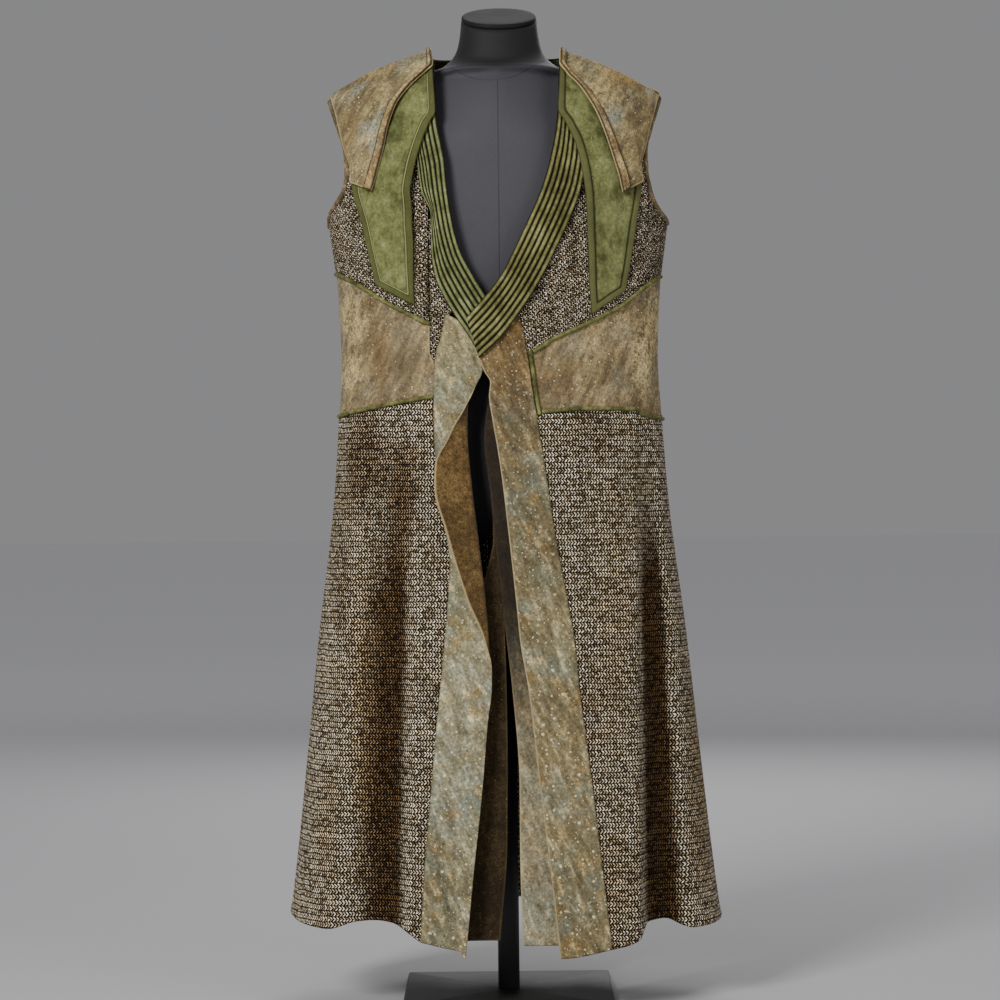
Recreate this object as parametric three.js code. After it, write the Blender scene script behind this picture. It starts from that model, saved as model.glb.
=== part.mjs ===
// A long sleeveless vest on a limbless dress form, in millimetres.
// +Z is up, the front faces -Y, and the origin is the middle of the pole on the underside of the base plate.
// Left and right are as seen from the front: left is -X.
import * as THREE from "three";

// Walls and seams.
const seamGap = 0.3;
const tweedWall = 2.5;
const leatherWall = 2;
const suedeWall = 1.6;

// The dress form and its stand.
const plate = { width: 310, depth: 310, height: 8 };
const pole = { radius: 16, sides: 32 };
const torsoBottom = 690;
const torsoCentre = -3;
const neckCap = { halfWidth: 56, halfDepth: 59, height: 7, bevel: 2, tilt: 22, centreY: 1, centreZ: 1457.8 };

// The vest hangs a little to the left of the pole. Its level sections are superellipses.
const vestCentre = -4;
const sectionPower = 2.3;
const archPower = 1.7;
const archHeight = 170;
const vestSections = [
  { z: 60, halfWidth: 328, front: 192, back: 215 },
  { z: 185, halfWidth: 311, front: 184, back: 200 },
  { z: 355, halfWidth: 292, front: 171, back: 179 },
  { z: 535, halfWidth: 273, front: 157, back: 158 },
  { z: 750, halfWidth: 247, front: 138, back: 130 },
  { z: 860, halfWidth: 239.5, front: 128, back: 116 },
  { z: 950, halfWidth: 235, front: 124, back: 110 },
  { z: 1050, halfWidth: 239, front: 126, back: 114 },
  { z: 1150, halfWidth: 251, front: 130, back: 122 },
  { z: 1260, halfWidth: 262, front: 128, back: 124 },
  { z: 1420, halfWidth: 270, front: 126, back: 124 },
];
const shoulderLine = [
  { x: 0, z: 1462 },
  { x: 70, z: 1415 },
  { x: 97, z: 1396 },
  { x: 107, z: 1393 },
  { x: 150, z: 1380.5 },
  { x: 200, z: 1361 },
  { x: 225, z: 1350 },
  { x: 245, z: 1340 },
  { x: 270, z: 1327 },
];

// Folds of the skirt: where each runs at the waist and at the hem, and how far it stands out at the hem.
const foldTop = 880;
const foldBottom = 100;
const frontFolds = [
  { atWaist: -246, atHem: -330, out: 0 },
  { atWaist: -236, atHem: -300, out: 8 },
  { atWaist: -214, atHem: -262, out: 10 },
  { atWaist: -186, atHem: -212, out: -14 },
  { atWaist: -150, atHem: -168, out: -26 },
  { atWaist: -112, atHem: -136, out: 8 },
  { atWaist: -70, atHem: -100, out: 8 },
  { atWaist: 0, atHem: 0, out: 0 },
  { atWaist: 45, atHem: 120, out: 8 },
  { atWaist: 130, atHem: 165, out: 18 },
  { atWaist: 190, atHem: 186, out: 22 },
  { atWaist: 202, atHem: 202, out: -20 },
  { atWaist: 214, atHem: 232, out: -30 },
  { atWaist: 225, atHem: 272, out: 2 },
  { atWaist: 232, atHem: 302, out: 6 },
  { atWaist: 238, atHem: 322, out: 0 },
];
const backFolds = [
  { atWaist: -246, atHem: -330, out: 0 },
  { atWaist: -205, atHem: -272, out: 12 },
  { atWaist: -165, atHem: -205, out: -24 },
  { atWaist: -110, atHem: -135, out: 14 },
  { atWaist: -55, atHem: -66, out: -20 },
  { atWaist: -4, atHem: -4, out: 6 },
  { atWaist: 50, atHem: 70, out: -22 },
  { atWaist: 105, atHem: 140, out: 14 },
  { atWaist: 160, atHem: 212, out: -20 },
  { atWaist: 200, atHem: 268, out: 10 },
  { atWaist: 238, atHem: 322, out: 0 },
];

// Edges beside the neck opening, by height: the neck edge of each ribbed band and its outer edge.
const neckEdges = [
  { z: 1404, leftNeck: -98, leftOuter: -124, rightNeck: 90, rightOuter: 118 },
  { z: 1374, leftNeck: -94, leftOuter: -125, rightNeck: 86, rightOuter: 120 },
  { z: 1300, leftNeck: -91, leftOuter: -130, rightNeck: 82, rightOuter: 127 },
  { z: 1235, leftNeck: -81, leftOuter: -121, rightNeck: 71.5, rightOuter: 124 },
  { z: 1190, leftNeck: -77, leftOuter: -115, rightNeck: 58, rightOuter: 116 },
  { z: 1155, leftNeck: -72, leftOuter: -101, rightNeck: 43, rightOuter: 103 },
  { z: 1105, leftNeck: -60, leftOuter: -101, rightNeck: 19, rightOuter: 80 },
  { z: 1065, leftNeck: -40, leftOuter: -96, rightNeck: -2, rightOuter: 60 },
  { z: 1035, leftNeck: -22, leftOuter: -84, rightNeck: -25, rightOuter: 42 },
  { z: 1005, leftNeck: 0, leftOuter: -66.5, rightNeck: -51, rightOuter: 21 },
  { z: 975, leftNeck: 20, leftOuter: -47, rightNeck: -75, rightOuter: -2 },
  { z: 945, leftNeck: 40, leftOuter: -30, rightNeck: -96, rightOuter: -33 },
];
const neckTop = 1404;
const ribCount = 7;
const ribHeight = 3.6;
const ribFacets = 2;
const ribShareAtShoulder = 0.28;

// The leather bands of the front opening, by height. The left band's free leg turns over towards the left.
const turnRadius = 6;
const leftBandRows = [
  { z: 1012, seam: -82, fold: -33, leg: 12, turn: 0 },
  { z: 975, seam: -90, fold: -33, leg: 12, turn: 0 },
  { z: 948, seam: -98, fold: -42, leg: 14, turn: 0 },
  { z: 927, seam: -99.5, fold: -45, leg: 16, turn: 0 },
  { z: 904, seam: -100, fold: -50, leg: 14, turn: 40 },
  { z: 872, seam: -100.5, fold: -56, leg: 24, turn: 100 },
  { z: 827, seam: -100, fold: -57, leg: 42, turn: 165 },
  { z: 789, seam: -98, fold: -54.5, leg: 64, turn: 165 },
  { z: 744, seam: -94, fold: -50.5, leg: 69, turn: 165 },
  { z: 697, seam: -86, fold: -45, leg: 61, turn: 165 },
  { z: 651, seam: -79, fold: -40, leg: 53, turn: 165 },
  { z: 595, seam: -82, fold: -34, leg: 41, turn: 165 },
  { z: 536, seam: -87.5, fold: -30, leg: 20, turn: 150 },
  { z: 503, seam: -91, fold: -29, leg: 12, turn: 60 },
  { z: 473, seam: -94, fold: -28, leg: 8, turn: 10 },
  { z: 417, seam: -100, fold: -35, leg: 8, turn: 0 },
  { z: 318, seam: -109, fold: -44, leg: 8, turn: 0 },
  { z: 203, seam: -120, fold: -57, leg: 8, turn: 0 },
  { z: 80, seam: -127, fold: -70, leg: 8, turn: 0 },
];
const rightBandRows = [
  { z: 1016, free: -60, seam: 22 },
  { z: 1000, free: -52, seam: 27 },
  { z: 981, free: -45, seam: 31.5 },
  { z: 950, free: -36, seam: 36.5 },
  { z: 940, free: -32, seam: 38 },
  { z: 925, free: -26, seam: 40 },
  { z: 910, free: -18, seam: 41.5 },
  { z: 890, free: -20, seam: 44.5 },
  { z: 858, free: -16, seam: 49.5 },
  { z: 821, free: -10, seam: 55 },
  { z: 764, free: -2, seam: 63.5 },
  { z: 700, free: 5, seam: 72 },
  { z: 595, free: 15.5, seam: 90 },
  { z: 535, free: 21, seam: 100 },
  { z: 457, free: 33.5, seam: 107 },
  { z: 334, free: 46.5, seam: 122 },
  { z: 200, free: 62, seam: 137 },
  { z: 80, free: 74, seam: 150.5 },
];

// The two inner flaps behind the bands, by height.
const rightFlapRows = [
  { z: 905, free: -10 },
  { z: 870, free: -24 },
  { z: 826, free: -28 },
  { z: 765, free: -21 },
  { z: 665, free: -11.5 },
  { z: 535, free: 2 },
  { z: 463, free: 9 },
  { z: 329, free: 17.5 },
  { z: 228, free: 18 },
  { z: 95, free: 21 },
];
const leftFlapRows = [
  { z: 720, outer: -16, inner: 8 },
  { z: 685, outer: -16, inner: 7 },
  { z: 622, outer: -30, inner: 3.5 },
  { z: 563, outer: -42, inner: 0 },
  { z: 480, outer: -54, inner: 1 },
  { z: 245, outer: -70, inner: 0.7 },
  { z: 103, outer: -76, inner: -11 },
];

// The suede tabs, the leather shoulder flaps and the armholes, by height.
const tabRows = [
  { z: 1404, leftInner: -93, leftOuter: -146, rightInner: 84, rightOuter: 138 },
  { z: 1370, leftInner: -92.3, leftOuter: -178, rightInner: 83, rightOuter: 168 },
  { z: 1303, leftInner: -89.3, leftOuter: -201.5, rightInner: 79.8, rightOuter: 189 },
  { z: 1284, leftInner: -100.5, leftOuter: -206, rightInner: 92, rightOuter: 194 },
  { z: 1255, leftInner: -112.5, leftOuter: -210, rightInner: 106.2, rightOuter: 198 },
  { z: 1205, leftInner: -125.8, leftOuter: -216, rightInner: 118, rightOuter: 205 },
  { z: 1147, leftInner: -130.6, leftOuter: -202, rightInner: 123, rightOuter: 197 },
  { z: 1100, leftInner: -127, leftOuter: -192.5, rightInner: 125.5, rightOuter: 190 },
  { z: 1056, leftInner: -125.5, leftOuter: -182.3, rightInner: 126.5, rightOuter: 181.5 },
  { z: 1008, leftInner: -124.3, leftOuter: -173, rightInner: 129.2, rightOuter: 175 },
];
const tabTips = { leftInner: 1022, leftOuter: 1056, rightInner: 1008, rightOuter: 1044 };
const flapRows = [
  { z: 1420, leftInner: -93, leftOuter: -275, rightInner: 80, rightOuter: 258 },
  { z: 1372, leftInner: -89, leftOuter: -256.5, rightInner: 79.2, rightOuter: 240.5 },
  { z: 1358, leftInner: -106, leftOuter: -251.5, rightInner: 91, rightOuter: 235.5 },
  { z: 1337, leftInner: -128, leftOuter: -243, rightInner: 111.5, rightOuter: 228 },
  { z: 1313, leftInner: -145.8, leftOuter: -234.3, rightInner: 127.6, rightOuter: 220.5 },
  { z: 1297, leftInner: -152.5, leftOuter: -230.3, rightInner: 136.3, rightOuter: 215.2 },
  { z: 1278, leftInner: -159, leftOuter: -225.3, rightInner: 144.6, rightOuter: 209.6 },
  { z: 1253, leftInner: -165, leftOuter: -219.6, rightInner: 154, rightOuter: 204.3 },
  { z: 1230, leftInner: -172.3, leftOuter: -216, rightInner: 162, rightOuter: 202.3 },
  { z: 1206, leftInner: -179.8, leftOuter: -214.2, rightInner: 169.8, rightOuter: 203 },
  { z: 1190, leftInner: -185.5, leftOuter: -214, rightInner: 173.4, rightOuter: 203.5 },
];
const flapTips = { leftInner: 1193, leftOuter: 1206, rightInner: 1187, rightOuter: 1203 };
const flapTrimWidth = 12;
const bindingRadius = 4;
const armholeRows = [
  { z: 1341, left: -259, right: 243 },
  { z: 1318, left: -251.5, right: 236 },
  { z: 1283, left: -239.5, right: 224.5 },
  { z: 1251, left: -231, right: 217 },
  { z: 1220, left: -229.5, right: 217.5 },
  { z: 1200, left: -233, right: 221.5 },
  { z: 1183, left: -243, right: 226 },
  { z: 1165, left: -257, right: 237 },
  { z: 1150, left: -262, right: 254 },
];
const underarm = 1150;
const armholeTop = 1340;

// Seams that run around the vest, by distance across.
const waistTopSeam = [
  { x: -260, z: 1086 },
  { x: -246, z: 1080 },
  { x: -219, z: 1064.5 },
  { x: -194, z: 1048 },
  { x: -170, z: 1031 },
  { x: -145, z: 1017 },
  { x: -105, z: 996.5 },
  { x: 38, z: 953.5 },
  { x: 74, z: 973 },
  { x: 123, z: 995.5 },
  { x: 172, z: 1021.5 },
  { x: 211, z: 1053 },
  { x: 238, z: 1073 },
  { x: 250, z: 1080 },
];
const waistBottomSeam = [
  { x: -250, z: 864 },
  { x: -196, z: 875 },
  { x: -134, z: 885.5 },
  { x: -100, z: 890 },
  { x: 50, z: 866.5 },
  { x: 121, z: 870.5 },
  { x: 192, z: 870 },
  { x: 205, z: 862 },
  { x: 238, z: 856.5 },
];
const dartSeam = -105.5;
const frontHem = [
  { x: -330, z: 131 },
  { x: -300, z: 121 },
  { x: -264, z: 118 },
  { x: -222, z: 129 },
  { x: -195, z: 131 },
  { x: -165, z: 127 },
  { x: -145, z: 119 },
  { x: -126, z: 105 },
  { x: -64, z: 82 },
  { x: 76, z: 80 },
  { x: 151, z: 92 },
  { x: 185, z: 102 },
  { x: 200, z: 124 },
  { x: 225, z: 126 },
  { x: 271, z: 112 },
  { x: 310, z: 114 },
  { x: 322, z: 120 },
];
const backHem = [
  { x: -330, z: 131 },
  { x: -205, z: 122 },
  { x: -4, z: 116 },
  { x: 212, z: 118 },
  { x: 322, z: 120 },
];
const backWaistTop = { atSides: 1079, atCentre: 1052 };
const backWaistBottom = { atSides: 862, atCentre: 876 };
const yokeBottom = { atSides: 1236, atCentre: 1222 };
const backNeck = { seam: 1374, edge: 1406, sideX: 94, seamSideX: 122 };

// How far each layer stands off the vest's base surface.
const layers = {
  ribs: 3.9,
  collar: 2.4,
  tabAtNeck: 12.8,
  tabAtSide: 3.8,
  flapAtNeck: 17.4,
  flapAtSide: 9.4,
  shoulderYoke: 7.2,
  rightRibsAtCrossing: 10,
  bandSeam: 3.1,
  bandFree: 6,
};
const piping = { halfWidth: 3, height: 4.6 };

const torsoSections = [
  { z: 690, halfWidth: 168, front: 78, back: 84 },
  { z: 700, halfWidth: 186, front: 92, back: 98 },
  { z: 740, halfWidth: 200, front: 102, back: 106 },
  { z: 840, halfWidth: 198, front: 101, back: 100 },
  { z: 950, halfWidth: 190, front: 98, back: 92 },
  { z: 1050, halfWidth: 200, front: 106, back: 100 },
  { z: 1150, halfWidth: 216, front: 114, back: 110 },
  { z: 1260, halfWidth: 218, front: 116, back: 113 },
  { z: 1330, halfWidth: 215, front: 102, back: 106 },
  { z: 1395, halfWidth: 215, front: 84, back: 94 },
];
const torsoShoulder = [
  { x: 0, z: 1474 },
  { x: 70, z: 1411 },
  { x: 84, z: 1397.5 },
  { x: 110, z: 1388 },
  { x: 150, z: 1374 },
  { x: 200, z: 1350 },
  { x: 215, z: 1340 },
];
const neckRings = [
  { z: 1404, halfWidth: 74, front: 63.5, back: 72, lean: 0.1 },
  { z: 1412, halfWidth: 65, front: 61, back: 64, lean: 0.18 },
  { z: 1428, halfWidth: 59.5, front: 58, back: 59, lean: 0.3 },
  { z: 1457, halfWidth: 56.5, front: 54, back: 56, lean: 0.404 },
];
const torsoRings = [
  690, 694, 705, 740, 840, 950, 1050, 1150, 1220, 1270, 1310, 1335, 1352, 1366, 1378, 1388, 1396,
];
const torsoSides = 32;
const neckPower = 2.1;

// ---------- Reading the tables ----------

const lerp = THREE.MathUtils.lerp;
const clamp = THREE.MathUtils.clamp;
const smooth = THREE.MathUtils.smoothstep;

// A smooth curve through a table's rows that never overshoots them.
function lookup(table, key, column, at) {
  const ascending = table[0][key] < table[table.length - 1][key] ? table : [...table].reverse();
  const last = ascending.length - 1;
  if (at <= ascending[0][key]) return ascending[0][column];
  if (at >= ascending[last][key]) return ascending[last][column];
  let i = 0;
  while (ascending[i + 1][key] < at) i += 1;
  const step = (k) => ascending[k + 1][key] - ascending[k][key];
  const slope = (k) => (ascending[k + 1][column] - ascending[k][column]) / step(k);
  const tangent = (k) => {
    if (k === 0) return slope(0);
    if (k === last) return slope(last - 1);
    const before = slope(k - 1);
    const after = slope(k);
    if (before * after <= 0) return 0;
    const a = 2 * step(k) + step(k - 1);
    const b = step(k) + 2 * step(k - 1);
    return (a + b) / (a / before + b / after);
  };
  const h = step(i);
  const t = (at - ascending[i][key]) / h;
  const from = ascending[i][column];
  const to = ascending[i + 1][column];
  const rise = (1 + 2 * t) * (1 - t) ** 2 * from + t * t * (3 - 2 * t) * to;
  return rise + h * t * (1 - t) ** 2 * tangent(i) - h * t * t * (1 - t) * tangent(i + 1);
}

const edge = (table, column, shift = 0) => (z) => lookup(table, "z", column, z) + shift;
const seam = (table, shift = 0) => (x) => lookup(table, "x", "z", x) + shift;
const bowed = ({ atSides, atCentre }, shift = 0) => (x) =>
  lerp(atCentre, atSides, clamp(Math.abs(x - vestCentre) / 240, 0, 1) ** 2) + shift;

// ---------- The vest's base surface ----------

function foldDepth(side, x, z) {
  const growth = clamp((foldTop - z) / (foldTop - foldBottom), 0, 1);
  const folds = side < 0 ? frontFolds : backFolds;
  const placed = folds.map((f) => ({ x: lerp(f.atWaist, f.atHem, growth), out: f.out }));
  return lookup(placed, "x", "out", x) * growth ** 0.8;
}

function shoulderHeight(x) {
  return lookup(shoulderLine, "x", "z", Math.abs(x - vestCentre));
}

function roundness(across) {
  return (1 - Math.min(across, 1) ** sectionPower) ** (1 / sectionPower);
}

function arch(below) {
  return (1 - (1 - clamp(below / archHeight, 0, 1)) ** archPower) ** (1 / archPower);
}

function vestDepth(side, x, z) {
  const halfWidth = lookup(vestSections, "z", "halfWidth", z);
  const depth = lookup(vestSections, "z", side < 0 ? "front" : "back", z);
  const shape = roundness(Math.abs(x - vestCentre) / halfWidth) * arch(shoulderHeight(x) - z);
  return depth * shape + foldDepth(side, x, z);
}

function vestNormal(side, x, z) {
  const reach = 0.5;
  const slopeX = (vestDepth(side, x + reach, z) - vestDepth(side, x - reach, z)) / (2 * reach);
  const slopeZ = (vestDepth(side, x, z + reach) - vestDepth(side, x, z - reach)) / (2 * reach);
  return new THREE.Vector3(-slopeX, side, -slopeZ).normalize();
}

// side is -1 in front and 1 behind; lift is the distance off the base surface.
function vestPoint(side, x, z, lift) {
  const height = Math.min(z, shoulderHeight(x) - 0.2);
  const point = new THREE.Vector3(x, side * (vestDepth(side, x, height) + seamGap / 2), height);
  return point.addScaledVector(vestNormal(side, x, height), lift);
}

function angleAt(x, z) {
  const across = (x - vestCentre) / lookup(vestSections, "z", "halfWidth", z);
  return Math.sign(across) * Math.asin(Math.min(Math.abs(across), 1) ** (sectionPower / 2));
}

function xAt(angle, z) {
  const halfWidth = lookup(vestSections, "z", "halfWidth", z);
  return vestCentre + halfWidth * Math.sign(angle) * Math.abs(Math.sin(angle)) ** (2 / sectionPower);
}

// ---------- Closed solids ----------

function solid(points, faces) {
  let volume = 0;
  for (const [a, b, c] of faces) {
    volume += points[a].dot(new THREE.Vector3().crossVectors(points[b], points[c]));
  }
  const outward = volume > 0 ? faces : faces.map(([a, b, c]) => [a, c, b]);
  const geometry = new THREE.BufferGeometry();
  geometry.setFromPoints(points);
  geometry.setIndex(outward.flat());
  geometry.computeVertexNormals();
  return geometry;
}

// A thin wall: place(across, down, layer) gives its inner points at layer 0 and its outer ones at layer 1.
function wall(columns, rows, place) {
  const points = [];
  const faces = [];
  const at = (layer, c, r) => layer * (columns + 1) * (rows + 1) + r * (columns + 1) + c;
  const quad = (a, b, c, d) => faces.push([a, b, c], [a, c, d]);
  for (let layer = 0; layer <= 1; layer += 1) {
    for (let r = 0; r <= rows; r += 1) {
      for (let c = 0; c <= columns; c += 1) {
        points.push(place(c / columns, r / rows, layer));
      }
    }
  }
  for (let r = 0; r < rows; r += 1) {
    for (let c = 0; c < columns; c += 1) {
      quad(at(1, c, r), at(1, c + 1, r), at(1, c + 1, r + 1), at(1, c, r + 1));
      quad(at(0, c, r), at(0, c, r + 1), at(0, c + 1, r + 1), at(0, c + 1, r));
    }
    quad(at(0, 0, r), at(1, 0, r), at(1, 0, r + 1), at(0, 0, r + 1));
    quad(at(0, columns, r), at(0, columns, r + 1), at(1, columns, r + 1), at(1, columns, r));
  }
  for (let c = 0; c < columns; c += 1) {
    quad(at(0, c, 0), at(0, c + 1, 0), at(1, c + 1, 0), at(1, c, 0));
    quad(at(0, c, rows), at(1, c, rows), at(1, c + 1, rows), at(0, c + 1, rows));
  }
  return solid(points, faces);
}

// A panel of the vest between two upright edges, given by height, and two seams, given by distance across.
function panel({ side, left, right, top, bottom, columns, rows, thick, lift = () => 0 }) {
  const spot = (across, down) => {
    let z = lerp(top(vestCentre), bottom(vestCentre), down);
    let x = lerp(left(z), right(z), across);
    for (let pass = 0; pass < 12; pass += 1) {
      z = lerp(Math.min(top(x), shoulderHeight(x) - 0.2), bottom(x), down);
      x = xAt(lerp(angleAt(left(z), z), angleAt(right(z), z), across), z);
    }
    return { x, z };
  };
  return wall(columns, rows, (across, down, layer) => {
    const { x, z } = spot(across, down);
    return vestPoint(side, x, z, lift(x, z) + layer * thick);
  });
}

// Even steps along an upright edge, by its length.
function along(xOf, zTop, zBottom) {
  const samples = 60;
  const line = Array.from({ length: samples + 1 }, (_, i) => {
    const z = lerp(zTop, zBottom, i / samples);
    return new THREE.Vector2(xOf(z), z);
  });
  const lengths = [0];
  for (let i = 1; i <= samples; i += 1) lengths.push(lengths[i - 1] + line[i].distanceTo(line[i - 1]));
  return (share) => {
    const target = share * lengths[samples];
    let i = 0;
    while (i < samples - 1 && lengths[i + 1] < target) i += 1;
    const t = (target - lengths[i]) / (lengths[i + 1] - lengths[i]);
    return line[i].clone().lerp(line[i + 1], clamp(t, 0, 1));
  };
}

// A strip of cloth between two lines on the vest, with its own lift and relief.
function strip({ side, from, to, columns, rows, thick, lift, relief = () => 0 }) {
  return wall(columns, rows, (across, down, layer) => {
    const spot = from(down).lerp(to(down), across);
    const out = lift(across, down) + layer * (thick + relief(across, down));
    return vestPoint(side, spot.x, spot.y, out);
  });
}

// A solid swept through rings of points, closed on itself or ended with flat caps.
function loft(rings, closed) {
  const sides = rings[0].length;
  const points = rings.flat();
  const faces = [];
  const spans = closed ? rings.length : rings.length - 1;
  for (let i = 0; i < spans; i += 1) {
    const a = i * sides;
    const b = ((i + 1) % rings.length) * sides;
    for (let k = 0; k < sides; k += 1) {
      const n = (k + 1) % sides;
      faces.push([a + k, a + n, b + n], [a + k, b + n, b + k]);
    }
  }
  if (!closed) {
    const last = (rings.length - 1) * sides;
    for (let k = 1; k < sides - 1; k += 1) {
      faces.push([0, k + 1, k], [last, last + k, last + k + 1]);
    }
  }
  return solid(points, faces);
}

// ---------- Nodes ----------

const vest = new THREE.Group();

const finishes = {
  tweed: { color: 0x6e5f4b, roughness: 0.95, metalness: 0 },
  leather: { color: 0x8a7a58, roughness: 0.7, metalness: 0 },
  band: { color: 0x85795e, roughness: 0.75, metalness: 0 },
  reverse: { color: 0x5c4728, roughness: 0.85, metalness: 0 },
  suede: { color: 0x73764b, roughness: 0.95, metalness: 0 },
  formCloth: { color: 0x49484c, roughness: 0.9, metalness: 0 },
  formCap: { color: 0x2a2a2b, roughness: 0.4, metalness: 0 },
  steel: { color: 0x1c1c1b, roughness: 0.5, metalness: 0.3 },
};

function add(name, geometry, finish) {
  const mesh = new THREE.Mesh(geometry, new THREE.MeshStandardMaterial(finishes[finish]));
  mesh.name = name;
  vest.add(mesh);
  return mesh;
}

// ---------- The dress form and its stand ----------

function superellipse(halfWidth, front, back, power, sides, place) {
  return Array.from({ length: sides }, (_, i) => {
    const angle = (i / sides) * 2 * Math.PI;
    const across = Math.sign(Math.sin(angle)) * Math.abs(Math.sin(angle)) ** (2 / power);
    const deep = Math.sign(Math.cos(angle)) * Math.abs(Math.cos(angle)) ** (2 / power);
    return place(halfWidth * across, -deep * (deep > 0 ? front : back));
  });
}

function torsoTopHalfWidth(z) {
  let inside = 0;
  let outside = 300;
  for (let pass = 0; pass < 30; pass += 1) {
    const middle = (inside + outside) / 2;
    const height = middle > 215 ? 0 : lookup(torsoShoulder, "x", "z", middle);
    if (height > z) inside = middle;
    else outside = middle;
  }
  return inside;
}

function torsoRing(z) {
  const halfWidth = lookup(torsoSections, "z", "halfWidth", z);
  const front = lookup(torsoSections, "z", "front", z);
  const back = lookup(torsoSections, "z", "back", z);
  const reach = Math.min(halfWidth, torsoTopHalfWidth(z));
  return Array.from({ length: torsoSides }, (_, i) => {
    const angle = (i / torsoSides) * 2 * Math.PI;
    const x = reach * Math.sign(Math.sin(angle)) * Math.abs(Math.sin(angle)) ** (2 / sectionPower);
    const below = lookup(torsoShoulder, "x", "z", Math.abs(x)) - z;
    const shape = roundness(Math.abs(x) / halfWidth) * arch(below);
    const deep = Math.cos(angle) > 0 ? -front : back;
    const edgeOn = Math.abs(Math.cos(angle)) < 1e-9 ? 0 : 1;
    return new THREE.Vector3(x + torsoCentre, deep * shape * edgeOn, z);
  });
}

function neckRing({ z, halfWidth, front, back, lean }) {
  const leaning = (x, y) => new THREE.Vector3(x, y, z + lean * y);
  return superellipse(halfWidth, front, back, neckPower, torsoSides, leaning);
}

const plateMesh = add("base_plate", new THREE.BoxGeometry(plate.width, plate.depth, plate.height), "steel");
plateMesh.position.z = plate.height / 2;
const poleLength = torsoBottom - plate.height - 2 * seamGap;
const poleShape = new THREE.CylinderGeometry(pole.radius, pole.radius, poleLength, pole.sides);
const poleMesh = add("pole", poleShape, "steel");
poleMesh.rotation.x = Math.PI / 2;
poleMesh.position.z = plate.height + seamGap + poleLength / 2;
add("form_torso", loft([...torsoRings.map(torsoRing), ...neckRings.map(neckRing)], false), "formCloth");
const capLevels = [
  { up: 0, inset: neckCap.bevel },
  { up: neckCap.bevel, inset: 0 },
  { up: neckCap.height - neckCap.bevel, inset: 0 },
  { up: neckCap.height, inset: neckCap.bevel },
];
const capRings = capLevels.map(({ up, inset }) => superellipse(
  neckCap.halfWidth - inset, neckCap.halfDepth - inset, neckCap.halfDepth - inset, neckPower, torsoSides,
  (x, y) => new THREE.Vector3(x, y, up),
));
const capMesh = add("form_neck_cap", loft(capRings, false), "formCap");
capMesh.rotation.x = THREE.MathUtils.degToRad(neckCap.tilt);
capMesh.position.set(0, neckCap.centreY, neckCap.centreZ);

// ---------- Tweed bodice, leather waist and tweed skirt in front ----------

const half = seamGap / 2;

function bindingLine(name, sign) {
  return along(edge(armholeRows, name, -sign * bindingRadius), armholeTop, underarm);
}

// The cloth's edge beside the rolled binding, one seam gap clear of it.
function armholeEdge(name, sign) {
  const line = bindingLine(name, sign);
  const samples = Array.from({ length: 61 }, (_, i) => line(i / 60));
  const room = bindingRadius + 6 * seamGap;
  return (z) => {
    const reaches = samples
      .filter((spot) => Math.abs(spot.y - z) < room)
      .map((spot) => sign * spot.x - Math.sqrt(room ** 2 - (spot.y - z) ** 2));
    return sign * Math.min(...reaches, sign * vestSide(sign)(z));
  };
}
const vestSide = (sign) => (z) => vestCentre + sign * lookup(vestSections, "z", "halfWidth", z);
const leftArmhole = armholeEdge("left", -1);
const rightArmhole = armholeEdge("right", 1);
const sideFoot = underarm - 2 * bindingRadius;
const leftSide = (z) => (z > sideFoot ? leftArmhole(Math.min(z, armholeTop)) : vestSide(-1)(z));
const rightSide = (z) => (z > sideFoot ? rightArmhole(Math.min(z, armholeTop)) : vestSide(1)(z));
const shoulderTop = () => 2000;
const leftRibEdge = edge(neckEdges, "leftOuter", -half);
const rightRibEdge = edge(neckEdges, "rightOuter", half);
const leftBandSeam = edge(leftBandRows, "seam");
const rightBandSeam = edge(rightBandRows, "seam");
const crossing = 1005;
const tuck = 2;
// Below the dart seam the waist panel closes in on the band.
const stripFoot = (z) => lerp(leftBandSeam(z) + tuck, dartSeam, clamp((z - 932) / 22, 0, 1));

add("bodice_front_left", panel({
  side: -1,
  left: leftSide,
  right: (z) => Math.min(leftRibEdge(z) + tuck / 2, dartSeam - half),
  top: shoulderTop,
  bottom: seam(waistTopSeam, half),
  columns: 10, rows: 11, thick: tweedWall,
}), "tweed");
add("bodice_strip_left", panel({
  side: -1,
  left: (z) => stripFoot(z) + half,
  right: (z) => lerp(leftBandSeam(z) + tuck, leftRibEdge(z) + tuck / 2, smooth(z, crossing, crossing + 12)),
  top: () => 1150,
  bottom: () => 936,
  columns: 2, rows: 9, thick: tweedWall,
}), "tweed");
add("bodice_front_right", panel({
  side: -1,
  left: (z) => lerp(rightBandSeam(z) - tuck, rightRibEdge(z) - tuck / 2, smooth(z, crossing, crossing + 12)),
  right: rightSide,
  top: shoulderTop,
  bottom: seam(waistTopSeam, 2 * half),
  columns: 12, rows: 11, thick: tweedWall,
}), "tweed");
add("waist_front_left", panel({
  side: -1,
  left: vestSide(-1),
  right: (z) => stripFoot(z) - half,
  top: seam(waistTopSeam, -half),
  bottom: seam(waistBottomSeam, half),
  columns: 10, rows: 5, thick: leatherWall,
}), "leather");
add("waist_front_right", panel({
  side: -1,
  left: (z) => rightBandSeam(z) - tuck,
  right: vestSide(1),
  top: seam(waistTopSeam, -half),
  bottom: seam(waistBottomSeam, half),
  columns: 12, rows: 5, thick: leatherWall,
}), "leather");
add("skirt_front_left", panel({
  side: -1,
  left: vestSide(-1),
  right: (z) => leftBandSeam(z) + tuck,
  top: seam(waistBottomSeam, -half),
  bottom: seam(frontHem),
  columns: 10, rows: 12, thick: tweedWall,
}), "tweed");
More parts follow.
